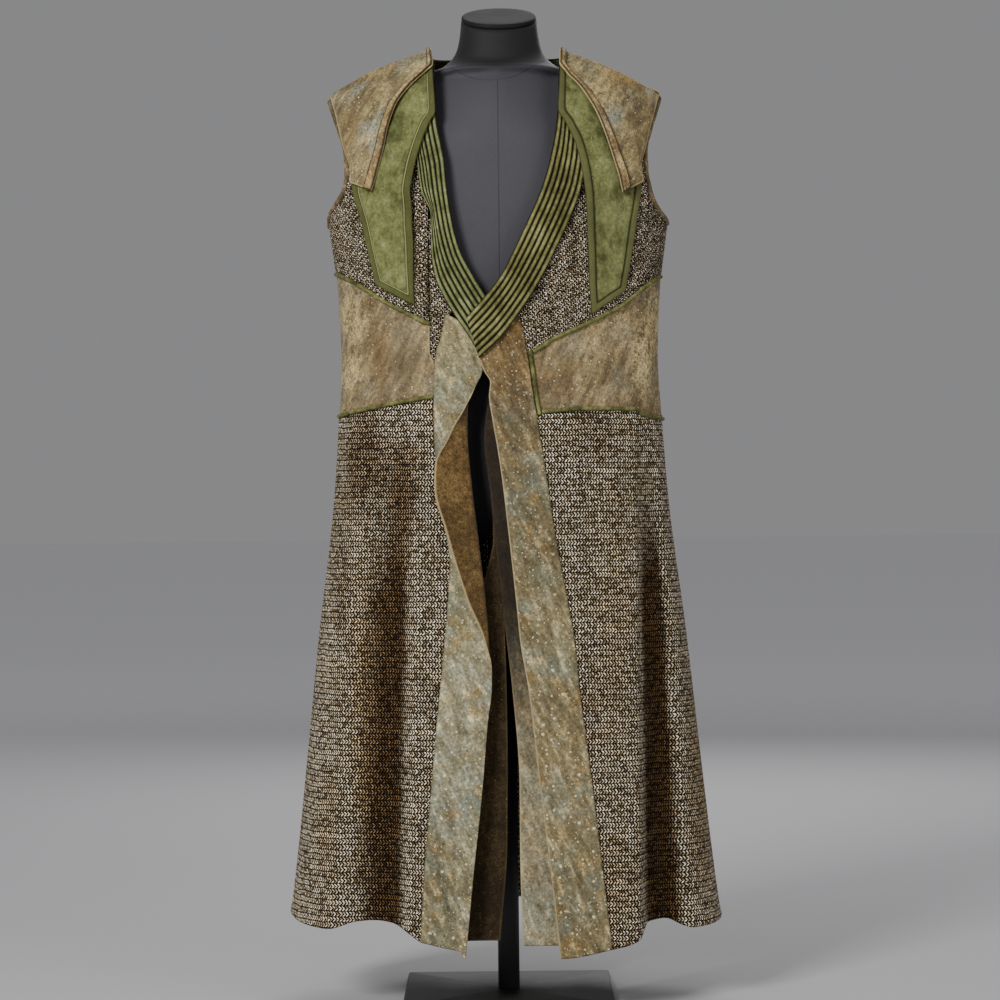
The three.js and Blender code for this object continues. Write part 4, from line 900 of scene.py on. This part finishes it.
def cloth_uv(inner):
    """The weave's place on each point, in metres: level along the cloth from its middle, and by height."""
    run = running_sum(np.hypot(np.diff(inner[..., 0], axis=1), np.diff(inner[..., 1], axis=1)), 1)
    way = np.sign(inner[:, -1, 0] - inner[:, 0, 0])
    nearest = (np.arange(len(inner)), np.argmin(np.abs(inner[..., 0] - CENTRE), axis=1))
    u = (inner[..., 0][nearest] - run[nearest] * way)[:, None] + run * way[:, None]
    return np.tile(np.stack([u, inner[..., 2]], -1).reshape(-1, 2) / METRE, (2, 1))


def flat_size(inner):
    """Width, length and area of a sheet laid flat, in metres."""
    across = np.linalg.norm(np.diff(inner, axis=1), axis=-1).sum(1).max() / METRE
    down = np.linalg.norm(np.diff(inner, axis=0), axis=-1).sum(0).max() / METRE
    corner = np.cross(inner[:-1, 1:] - inner[:-1, :-1], inner[1:, :-1] - inner[:-1, :-1])
    opposite = np.cross(inner[:-1, 1:] - inner[1:, 1:], inner[1:, :-1] - inner[1:, 1:])
    area = (np.linalg.norm(corner, axis=-1) + np.linalg.norm(opposite, axis=-1)).sum() / 2
    return (across, down), min(area / METRE ** 2, across * down)


def shell(node, inner, outer, materials, held, rests_on, relief=None, **marks):
    """A thin closed sheet with rounded cut edges. relief(edges) raises the outer points, in millimetres."""
    flat, area = flat_size(inner)
    edges = edge_distances(inner)
    if relief is not None:
        outer = outer + unit(outer - inner) * relief(edges)[..., None]
    for side in (np.s_[0], np.s_[-1], np.s_[:, 0], np.s_[:, -1]):
        upper, lower = outer[side].copy(), inner[side].copy()
        outer[side] = lerp(upper, lower, RIM_ROUNDING)
        inner[side] = lerp(lower, upper, RIM_ROUNDING)
    faces, looks = shell_faces(inner, outer)
    marks = {mark: np.tile(values.ravel(), 2) for mark, values in dict(marks, edge=edges["edge"]).items()}
    points = np.concatenate([outer.reshape(-1, 3), inner.reshape(-1, 3)])
    piece = make_piece(node, points, faces.tolist(), materials, np.minimum(looks, len(materials) - 1),
                       cloth_uv(inner), **marks)


def sheet(node, side, x, z, lift, materials, rests_on, relief=None, raised=0.0, held="hung", **marks):
    """A sheet over the vest's surface, lifted off it. raised adds to the outer face, as ribs do."""
    point, normal = vest_frame(side, x, z)
    inner = point + normal * np.broadcast_to(lift, x.shape)[..., None]
    thick = np.broadcast_to(THICKNESS.get(materials[0], LEATHER) + raised, x.shape)
    shell(node, inner, inner + normal * thick[..., None], materials, held, [rests_on], relief, **marks)


def panel(node, side, left, right, top, bottom, cells, material, rests_on, relief,
          lift=lambda x, z: 0.0):
    """A panel between two upright edges, given by height, and two seams, given by distance across."""
    across, down = cell_grid(*cells)
    z = lerp(top(CENTRE), bottom(CENTRE), down)
    x = lerp(left(z), right(z), across)
    for _ in range(12):
        z = lerp(np.minimum(top(x), shoulder_height(x) - SHOULDER_CLEARANCE), bottom(x), down)
        x = x_at(lerp(angle_at(left(z), z), angle_at(right(z), z), across), z)
    sheet(node, side, x, z, lift(x, z), [material], rests_on, relief, hollow=hollow_at(side, x, z))


def between(start, end, across, down, fan=None):
    """Places between two lines. fan(across, width) moves the columns, as where one edge is gathered."""
    (x0, z0), (x1, z1) = start(down), end(down)
    share = across if fan is None else fan(across, np.hypot(x1 - x0, z1 - z0))
    return lerp(x0, x1, share), lerp(z0, z1, share)


# ---------- Reliefs: how a sheet's face rises and sinks near its edges ----------

def seamed(edges):
    """Cloth that sinks a little into the seams round it."""
    return -SEAM_SINK * bell(edges["edge"], SEAM_WIDTH)


def hemmed(edges):
    """As seamed, with a turned hem that stands a little proud and a dip above it."""
    beside = np.minimum(np.minimum(edges["left"], edges["right"]), edges["top"])
    turned = 0.9 * (1 - smooth(edges["foot"], HEM_WIDTH - 4, HEM_WIDTH))
    dip = 0.6 * bell(edges["foot"] - HEM_WIDTH - 0.5, 2.2)
    return -SEAM_SINK * bell(beside, SEAM_WIDTH) + (turned - dip)


def bordered(edges):
    """A stitched groove one border in from the edge, with soft padding on both sides of it."""
    edge = edges["edge"]
    padding = 0.5 * bell(edge - TRIM_WIDTH * 0.5, 4.2) + 0.35 * smooth(edge, TRIM_WIDTH, TRIM_WIDTH + 7)
    return padding - 1.05 * bell(edge - TRIM_WIDTH, 1.3)


def flap_border(edges):
    """A border along the neck end and the foot of a shoulder flap."""
    ends = np.minimum(edges["top"], edges["foot"])
    return 0.9 * (1 - smooth(ends, TRIM_WIDTH - 1.4, TRIM_WIDTH - 0.2)) - 0.9 * bell(ends - TRIM_WIDTH, 1.1)


def uneven_edge(edges):
    return 0.25 * np.sin(edges["foot"] / 11) * bell(edges["edge"], 5)


def rolled(edges):
    return 1.3 * smooth(edges["edge"], 0, 5)


# ---------- Edges of the panels ----------

def binding_line(name, sign):
    return along(curve(ARMHOLES, "z", name, -sign * BINDING_RADIUS), ARMHOLE_TOP, UNDERARM)


def vest_side(sign):
    return lambda z: CENTRE + sign * half_width_at(z)


def body_edge(name, sign):
    """The vest's side, and above it the armhole, with the cloth's edge tucked into the rolled binding."""
    line_x, line_z = binding_line(name, sign)(np.linspace(0, 1, LINE_STEPS))
    room = BINDING_RADIUS - TUCK
    plain = vest_side(sign)

    def armhole(z):
        away = line_z - z[..., None]
        into_cloth = np.sqrt(np.maximum(room ** 2 - away ** 2, 0))
        reach = np.where(np.abs(away) < room, sign * line_x - into_cloth, np.inf)
        return sign * np.minimum(reach.min(-1), sign * plain(z))

    def edge(z):
        z = np.asarray(z, float)
        return np.where(z > UNDERARM - 2 * BINDING_RADIUS, armhole(np.minimum(z, ARMHOLE_TOP)), plain(z))
    return edge


left_side, right_side = body_edge("left", -1), body_edge("right", 1)
left_plain, right_plain = vest_side(-1), vest_side(1)
shoulder_top = constant(2000)
left_rib_edge = curve(NECK, "z", "left_outer", -HALF)
right_rib_edge = curve(NECK, "z", "right_outer", HALF)
left_band_edge = curve(LEFT_BAND, "z", "seam", TUCK)
right_band_seam = curve(RIGHT_BAND, "z", "seam")
right_band_edge = curve(RIGHT_BAND, "z", "seam", -TUCK)
front_hem = curve(FRONT_HEM, "x", "z")
back_hem = curve(BACK_HEM, "x", "z")
waist_top = lambda shift=0: curve(WAIST_TOP, "x", "z", shift)
waist_bottom = lambda shift=0: curve(WAIST_BOTTOM, "x", "z", shift)


def dart_line(shift):
    """From the left band's seam up to the dart."""
    return lambda z: lerp(left_band_edge(z), DART_SEAM, np.clip((z - DART_FOOT) / DART_RISE, 0, 1)) + shift


def above_crossing(lower, upper):
    return lambda z: lerp(lower(z), upper(z), smooth(z, CROSSING, CROSSING + CROSSING_BLEND))


# ---------- Tweed bodice, leather waist and tweed skirt ----------

def build_front():
    beside_dart = lambda z: np.minimum(left_rib_edge(z) + TUCK / 2, DART_SEAM - HALF)
    beside_left_ribs = above_crossing(left_band_edge, lambda z: left_rib_edge(z) + TUCK / 2)
    beside_right_ribs = above_crossing(right_band_edge, lambda z: right_rib_edge(z) - TUCK / 2)
    panel("bodice_front_left", -1, left_side, beside_dart, shoulder_top, waist_top(HALF),
          (44, 130, 110, 340), "tweed_fine", "form_torso", seamed)
    panel("bodice_strip_left", -1, dart_line(HALF), beside_left_ribs, *(constant(z) for z in STRIP_ENDS),
          (10, 20, 60, 214), "tweed_fine", "bodice_front_left", seamed)
    panel("bodice_front_right", -1, beside_right_ribs, right_side, shoulder_top, waist_top(2 * HALF),
          (56, 160, 110, 340), "tweed_fine", "form_torso", seamed)
    panel("waist_front_left", -1, left_plain, dart_line(-HALF), waist_top(-HALF), waist_bottom(HALF),
          (60, 170, 60, 160), "waist", "bodice_front_left", seamed)
    panel("waist_front_right", -1, right_band_edge, right_plain, waist_top(-HALF), waist_bottom(HALF),
          (72, 230, 60, 160), "waist", "bodice_front_right", seamed)
    panel("skirt_front_left", -1, left_plain, left_band_edge, waist_bottom(-HALF), front_hem,
          (58, 220, 190, 770), "tweed", "waist_front_left", hemmed)
    panel("skirt_front_right", -1, right_band_edge, right_plain, waist_bottom(-HALF), front_hem,
          (66, 250, 190, 770), "tweed", "waist_front_right", hemmed)


def back_neck_line(centre_z, side_x):
    def line(x):
        share = np.clip(np.abs(x - CENTRE) / (side_x - 2), 0, 1)
        return lerp(centre_z, shoulder_height(CENTRE + side_x), share ** 2.2)
    return line


def yoke_lift(x, z):
    """The yoke rises over the flaps at the shoulder."""
    near_shoulder = np.clip(1 - (shoulder_height(x) - z) / 60, 0, 1) ** 1.5
    return YOKE_LIFT * near_shoulder * smooth(np.abs(x - CENTRE), 130, 160)


def build_back():
    neck = back_neck_line(BACK_NECK["seam"] - HALF, BACK_NECK["seam_side_x"])
    skirt_top = bowed(BACK_WAIST_BOTTOM, -HALF)
    panel("back_yoke", 1, left_side, right_side, neck, bowed(YOKE_BOTTOM, HALF),
          (100, 480, 50, 170), "flap", "form_torso", seamed, yoke_lift)
    panel("bodice_back", 1, left_side, right_side, bowed(YOKE_BOTTOM, -HALF), bowed(BACK_WAIST_TOP, HALF),
          (110, 520, 60, 180), "tweed_fine", "back_yoke", seamed)
    panel("waist_back", 1, left_plain, right_plain,
          bowed(BACK_WAIST_TOP, -HALF), bowed(BACK_WAIST_BOTTOM, HALF),
          (120, 560, 56, 190), "waist", "bodice_back", seamed)
    panel("skirt_back_left", 1, left_plain, constant(CENTRE - HALF), skirt_top, back_hem,
          (66, 320, 180, 750), "tweed", "waist_back", hemmed)
    panel("skirt_back_right", 1, constant(CENTRE + HALF), right_plain, skirt_top, back_hem,
          (66, 320, 180, 750), "tweed", "waist_back", hemmed)


# ---------- Bands and inner flaps ----------

def band_wave(across, z):
    """Slow waves along a free edge that grow towards the hem."""
    return (1.3 * np.sin(z / 53 + 0.6) + 0.8 * np.sin(z / 29 + across * 2)) * (1 - smooth(z, 250, 900))


def build_left_band():
    """The band lies flat from its seam to the fold; its free leg turns over and shows the brown reverse."""
    across, down = cell_grid(40, 80, 260, 900)
    z_top = lerp(*LEFT_BAND_TOP, across)
    z = lerp(z_top, front_hem(lerp(*LEFT_BAND_FOOT, across)), down)
    seam, fold, leg, turn = (curve(LEFT_BAND, "z", name)(z) for name in ("seam", "fold", "leg", "turn"))
    under_ribs = smooth(across, 0.02, 0.2) * (1 - smooth(z_top - z, 25, 80))
    wave = band_wave(across, z)
    lift = lambda share: lerp(BAND_SEAM_LIFT + 2 * share, SEAM_GAP, under_ribs)
    share = np.clip(across / BODY_SHARE, 0, 1)
    body_point, body_normal = vest_frame(-1, lerp(seam + HALF, fold, share), z)
    body = body_point + body_normal * (lift(share) + wave * share)[..., None]
    turn = np.radians(turn)
    length = leg * np.clip((across - BODY_SHARE) / (1 - BODY_SHARE), 0, 1)
    bend = np.minimum(length, TURN_RADIUS * turn) / TURN_RADIUS
    rest = length - bend * TURN_RADIUS
    aside = TURN_RADIUS * np.sin(bend) + rest * np.cos(bend)
    out = TURN_RADIUS * (1 - np.cos(bend)) + rest * np.sin(bend)
    fold_point, normal = vest_frame(-1, fold, z)
    sideways = unit(np.array([1.0, 0, 0]) - normal * normal[..., :1])
    face = normal * np.cos(bend)[..., None] - sideways * np.sin(bend)[..., None]
    free_leg = fold_point + normal * (lift(1.0) + wave + out)[..., None] + sideways * aside[..., None]
    on_body = across <= BODY_SHARE
    inner = np.where(on_body[..., None], body, free_leg)
    outer = inner + np.where(on_body[..., None], body_normal, face) * LEATHER
    # The pale line is laid along the fold here, as a painted highlight.
    from_fold = np.abs(lerp(seam, fold, share) - fold) + np.where(on_body, 0, 9)
    shell("band_left", inner, outer, ["band", "reverse", "cut"], "hung",
          ["bodice_strip_left", "skirt_front_left"], uneven_edge, free=from_fold)


def build_right_band():
    across, down = cell_grid(30, 85, 260, 900)
    z = lerp(lerp(*RIGHT_BAND_TOP, across), front_hem(lerp(*RIGHT_BAND_FOOT, across)), down)
    free = curve(RIGHT_BAND, "z", "free")(z)
    x = lerp(free, right_band_seam(z) - HALF, across)
    lift = lerp(BAND_FREE_LIFT, BAND_SEAM_LIFT, across) + band_wave(across, z) * (1 - across) * 0.8
    point, normal = vest_frame(-1, x, z)
    inner = point + normal * lift[..., None]
    shell("band_right", inner, inner + normal * LEATHER, ["band_right", "reverse", "cut"], "hung",
          ["skirt_front_right", "waist_front_right"], uneven_edge, free=x - free)


def build_inner_flaps():
    across, down = cell_grid(26, 90, 170, 810)
    z = lerp(*RIGHT_FLAP_ENDS, down)
    free = curve(RIGHT_FLAP, "z", "free")(z)
    x = lerp(free, right_band_seam(z) + 8, across)
    lift = lerp(lerp(-3, -20, down), -0.9, across ** 2) - LEATHER
    sheet("inner_flap_right", -1, x, z, lift, ["inner", "reverse", "cut"], "waist_front_right", free=x - free)
    across, down = cell_grid(22, 60, 130, 615)
    z = lerp(*LEFT_FLAP_ENDS, down)
    x = lerp(curve(LEFT_FLAP, "z", "outer")(z), curve(LEFT_FLAP, "z", "inner")(z), across)
    sheet("inner_flap_left", -1, x, z, lerp(-9, -30, down) - LEATHER,
          ["reverse_inside", "reverse_inside", "cut"], "band_left")


# ---------- Ribbed neck bands and collar ----------

def rib_place(share):
    return (share * RIB_COUNT) % 1


def rib_shape(share, unevenness=0):
    """Round padded channels side by side, each from one stitched valley to the next."""
    return np.where(share >= 1, 0, (RIB_HEIGHT + unevenness) * np.sin(math.pi * rib_place(share)) ** 0.5)


def rib_valley(share):
    return np.clip(np.abs(rib_place(share) - 0.5) * 2, 0, 1)


def rib_unevenness(across, down):
    rib = np.floor(np.minimum(across, 0.999) * RIB_COUNT)
    return 0.35 * np.sin(down * 31 + rib * 2.1) + 0.25 * np.sin(down * 67 + rib * 4.3)


def gathered(across, width):
    """The ribs next to the neck keep their width, and those outside are squeezed where the band is narrow."""
    squeezed = 1 - np.clip(GATHERED_RIBS_WIDTH / width, 0.5, 0.84)
    return np.where(across < 0.5, across * 2 * squeezed, lerp(squeezed, 1, across * 2 - 1))


def build_ribs():
    bands = (
        ("left", "ribs_left", ("left_outer", HALF, 960), ("left_neck", 0, 1006), 470, RIB_LIFT, gathered),
        ("right", "ribs", ("right_neck", 0, CROSSING), ("right_outer", -HALF, 945), 490, RIGHT_RIB_LIFT,
         None))
    for name, finish, start, end, length, end_lift, fan in bands:
        start, end = (along(curve(NECK, "z", edge, shift), NECK_TOP, foot)
                      for edge, shift, foot in (start, end))
        across, down = cell_grid(RIB_COUNT * 10, 60, 150, length)
        x, z = between(start, end, across, down, fan)
        raised = rib_shape(across, rib_unevenness(across, down))
        raised = raised * lerp(RIB_SHARE_AT_SHOULDER, 1, smooth(down, 0.06, 0.3))
        lift = lerp(RIB_LIFT, end_lift, smooth(down, 0.55, 0.8))
        sheet(f"rib_band_{name}", -1, x, z, lift, [finish], "form_torso", raised=raised,
              valley=rib_valley(across))


def build_collar():
    across, down = cell_grid(80, 300, RIB_COUNT * 10, 30)
    x = CENTRE + lerp(-1, 1, across) * lerp(BACK_NECK["side_x"], BACK_NECK["seam_side_x"], down)
    upper = back_neck_line(BACK_NECK["edge"], BACK_NECK["side_x"])
    lower = back_neck_line(BACK_NECK["seam"] + SEAM_GAP, BACK_NECK["seam_side_x"] - 2)
    sheet("collar_back", 1, x, lerp(upper(x), lower(x), down), COLLAR_LIFT, ["ribs"], "form_torso",
          raised=rib_shape(down), valley=rib_valley(down))


# ---------- Tabs and shoulder flaps ----------

def tab_lift(across, down):
    return lerp(*TAB_LIFT, np.maximum(smooth(across, 0.38, 0.75), smooth(down, 0.56, 0.74)))


def flap_lift(across, down):
    pressed = 4 * smooth(across, 0.92, 1) * (1 - smooth(down, 0.75, 0.95))
    return lerp(*FLAP_LIFT, np.maximum(smooth(across, 0.5, 1), smooth(down, 0.4, 1))) - pressed


def build_tabs_and_flaps():
    for name, sign in (("left", -1), ("right", 1)):
        inner_name, outer_name = f"{name}_inner", f"{name}_outer"
        tab_start, tab_end = (along(curve(TABS, "z", edge), NECK_TOP, TAB_TIPS[edge])
                              for edge in (inner_name, outer_name))
        across, down = cell_grid(44, 80, 130, 380)
        x, z = between(tab_start, tab_end, across, down)
        sheet(f"tab_{name}", -1, x, z, tab_lift(across, down), [f"tab_{name}"],
              f"bodice_front_{name}", bordered)

        start_z, end_z = (min(FLAP_TOP, float(shoulder_height(at * sign))) for at in (97, 250))
        outer_edge = curve(FLAPS, "z", outer_name)
        widened = lambda z: outer_edge(z) + FLAP_REACH * sign * smooth(z, 1215, 1265)
        flap_start = along(curve(FLAPS, "z", inner_name), start_z, FLAP_TIPS[inner_name])
        flap_end = along(widened, end_z, FLAP_TIPS[outer_name])
        across, down = cell_grid(50, 110, 90, 220)
        x, z = between(flap_start, flap_end, across, down)
        sheet(f"shoulder_flap_{name}", -1, x, z, flap_lift(across, down), ["flap"],
              f"tab_{name}", flap_border)

        across, down = cell_grid(8, 12, 90, 240)
        (x0, z0), (x1, z1) = flap_start(down), flap_end(down)
        share = TRIM_WIDTH / np.hypot(x1 - x0, z1 - z0)
        x, z = lerp(x0, lerp(x0, x1, share), across), lerp(z0, lerp(z0, z1, share), across)
        lift = flap_lift(across * share, down) + LEATHER + TRIM_GAP
        sheet(f"flap_trim_{name}", -1, x, z, lift, ["trim"], f"shoulder_flap_{name}", rolled, held="laid")


# ---------- Bindings and piping ----------

def build_bindings():
    for name, sign in (("left", -1), ("right", 1)):
        places = binding_line(name, sign)(np.linspace(0, 1, 101))
        halves = []
        for side in (-1, 1):
            point, normal = vest_frame(side, *places)
            halves.append(point + normal * (TWEED / 2))
            halves[-1][[0, -1], 1] = 0
        centres = np.concatenate([halves[0], halves[1][-2:0:-1]])
        for _ in range(3):
            centres = (np.roll(centres, 1, 0) + 2 * centres + np.roll(centres, -1, 0)) / 4
        tangent = unit(np.roll(centres, -1, 0) - np.roll(centres, 1, 0))
        across = unit(np.array([sign, 0.0, 0.0]) - tangent * (sign * tangent[:, :1]))
        up = np.cross(tangent, across)
        angle = np.linspace(0, 2 * math.pi, 16, endpoint=False)[:, None]
        run = np.arange(len(centres))[:, None, None]
        radius = BINDING_RADIUS - 0.1 + 0.22 * np.sin(run / 2.7) * np.sin(run / 7.1)
        rings = centres[:, None] + radius * (across[:, None] * np.cos(angle) + up[:, None] * np.sin(angle))
        tube(f"armhole_binding_{name}", rings, "binding", closed=True)


def build_piping(node, side, spots, count):
    x, z = spots(np.linspace(0, 1, count + 1))
    point, normal = vest_frame(side, x, z)
    point = point + normal * (TWEED + 2 * SEAM_GAP)
    across = np.cross(unit(np.gradient(point, axis=0)), normal)
    angle = np.linspace(0, math.pi, 9)[:, None]
    run = np.arange(count + 1)[:, None, None]
    swell = 1 + 0.06 * np.sin(run * 1.3) + 0.04 * np.sin(run * 0.47)
    wide = -PIPING_WIDTH * np.cos(angle) * swell
    tall = PIPING_HEIGHT * np.sin(angle) ** 0.8 * swell
    tube(node, point[:, None] + across[:, None] * wide + normal[:, None] * tall, "piping")


def on_seam(line, from_x, to_x):
    def spots(share):
        middle = line((from_x + to_x) / 2)
        ends = angle_at(np.array([from_x, to_x], float), middle)
        x = x_at(lerp(*ends, share), middle)
        return x, line(x)
    return spots


def beside_band(share):
    z = lerp(957, 862, share)
    return right_band_seam(z) + 4, z


def build_all_piping():
    build_piping("piping_top_left", -1, on_seam(waist_top(), -244, -106), 90)
    build_piping("piping_bottom_left", -1, on_seam(waist_bottom(), -241, -101), 90)
    build_piping("piping_top_right", -1, on_seam(waist_top(), 44, 236), 110)
    build_piping("piping_bottom_right", -1, on_seam(waist_bottom(), 56, 234), 110)
    build_piping("piping_front_right", -1, beside_band, 40)
    build_piping("piping_top_back", 1, on_seam(bowed(BACK_WAIST_TOP), -241, 233), 200)
    build_piping("piping_bottom_back", 1, on_seam(bowed(BACK_WAIST_BOTTOM), -241, 233), 200)


# ---------- The dress form and its stand ----------

def turned_about(sides):
    angle = np.arange(sides) / sides * 2 * math.pi
    return np.sin(angle), np.cos(angle)


def superellipse(half_width, front, back, power, sides):
    across, deep = (signed_power(way, 2 / power) for way in turned_about(sides))
    return half_width * across, -deep * np.where(deep > 0, front, back)


def torso_ring(z, sides):
    half_width, front, back = (curve(TORSO, "z", name)(z) for name in ("half_width", "front", "back"))
    shoulder = curve(TORSO_SHOULDER, "x", "z")
    reach_x = np.linspace(0, TORSO_REACH, 10 * TORSO_REACH + 1)
    reach = min(half_width, reach_x[shoulder(reach_x) > z].max())
    across, ahead = turned_about(sides)
    x = reach * signed_power(across, 2 / SECTION_POWER)
    shape = roundness(np.abs(x) / half_width) * arch(shoulder(np.abs(x)) - z)
    deep = np.where(ahead > 0, -front, back) * np.where(np.abs(ahead) < 1e-9, 0, 1)
    return np.stack([x + TORSO_CENTRE, deep * shape, np.full(sides, float(z))], -1)


def between_rings(rings, count):
    """A smooth skin through the rings, with more rings between them."""
    padded = np.concatenate([2 * rings[:1] - rings[1:2], rings, 2 * rings[-1:] - rings[-2:-1]])
    made = []
    for i in range(len(rings) - 1):
        p0, p1, p2, p3 = padded[i:i + 4]
        for t in np.arange(count) / count:
            bend, twist = 2 * p0 - 5 * p1 + 4 * p2 - p3, 3 * (p1 - p2) + p3 - p0
            made.append(p1 + 0.5 * t * (p2 - p0 + t * (bend + t * twist)))
    return np.array(made + [rings[-1]])


def stacked(node, material, steps_up, half_width, half_depth, power, sides, tilt=0.0, base=(0, 0)):
    """A solid of like sections. Each step is a height above the base and how far its section is inset."""
    rings = []
    for up, inset in steps_up:
        x, y = superellipse(half_width - inset, half_depth - inset, half_depth - inset, power, sides)
        rings.append(np.stack([x, base[0] + y * math.cos(tilt) - up * math.sin(tilt),
                               base[1] + y * math.sin(tilt) + up * math.cos(tilt)], -1))
    tube(node, np.array(rings), material)


def build_form():
    rings = [torso_ring(z, FORM_SIDES) for z in TORSO_RINGS]
    for z, half_width, front, back, lean in zip(*NECK_RINGS.values()):
        x, y = superellipse(half_width, front, back, NECK_POWER, FORM_SIDES)
        rings.append(np.stack([x, y, z + lean * y], -1))
    tube("form_torso", between_rings(np.array(rings), 5), "form_cloth")
    stacked("form_neck_cap", "cap", NECK_CAP_STEPS, power=NECK_POWER, sides=FORM_SIDES, **NECK_CAP)
    stacked("pole", "steel", POLE_STEPS, POLE_RADIUS, POLE_RADIUS, power=2, sides=64)
    stacked("base_plate", "steel", PLATE_STEPS, PLATE_HALF, PLATE_HALF, power=60, sides=128)


build_form()
build_front()
build_back()
build_left_band()
build_right_band()
build_inner_flaps()
build_ribs()
build_collar()
build_tabs_and_flaps()
build_bindings()
build_all_piping()


# ---------- Floor and light ----------

FLOOR_REACH = 60.0
LIGHTS = (  # name, place, height of the target, size, power
    ("key", (-2.0, -3.4, 2.6), 0.8, 1.2, 165), ("fill", (2.8, -2.8, 1.6), 0.8, 2.2, 34),
    ("back", (0.6, 3.2, 2.8), 0.9, 2.0, 60))
WORLD_COLOUR, WORLD_STRENGTH = (0.42, 0.42, 0.43, 1), 0.6


def build_floor():
    floor = bpy.data.meshes.new("floor")
    corners = [(x * FLOOR_REACH, y * FLOOR_REACH, 0) for x, y in ((-1, -1), (1, -1), (1, 1), (-1, 1))]
    floor.from_pydata(corners, [], [(0, 1, 2, 3)])
    f = Finish("floor", Specular_IOR_Level=0.2)
    away = (f.x ** 2 + f.y ** 2) ** 0.5
    # The floor is painted lighter away from the form: painted light that makes up for the lamps' falloff
    # towards the horizon.
    f.colour = f.mix((188, 188, 190), (250, 250, 252), f.smooth(away, 1.5, 8.0))
    floor.materials.append(f.finish(0.8, f.noise(80, 3.0, 0.55) * 0.05))
    link("floor", floor)


def area_light(name, place, target_height, size, power):
    """A soft light that points at the garment's middle line."""
    light = bpy.data.lights.new(name, "AREA")
    light.energy = power
    light.size = size
    lamp = link(name, light)
    lamp.location = place
    x, y, z = place
    lamp.rotation_euler = (math.atan2(math.hypot(x, y), z - target_height), 0, math.atan2(x, -y))


build_floor()
for light_row in LIGHTS:
    area_light(*light_row)
world = bpy.data.worlds.new("studio")
bpy.context.scene.world = world
world.use_nodes = True
background = world.node_tree.nodes["Background"]
background.inputs["Color"].default_value = WORLD_COLOUR
background.inputs["Strength"].default_value = WORLD_STRENGTH
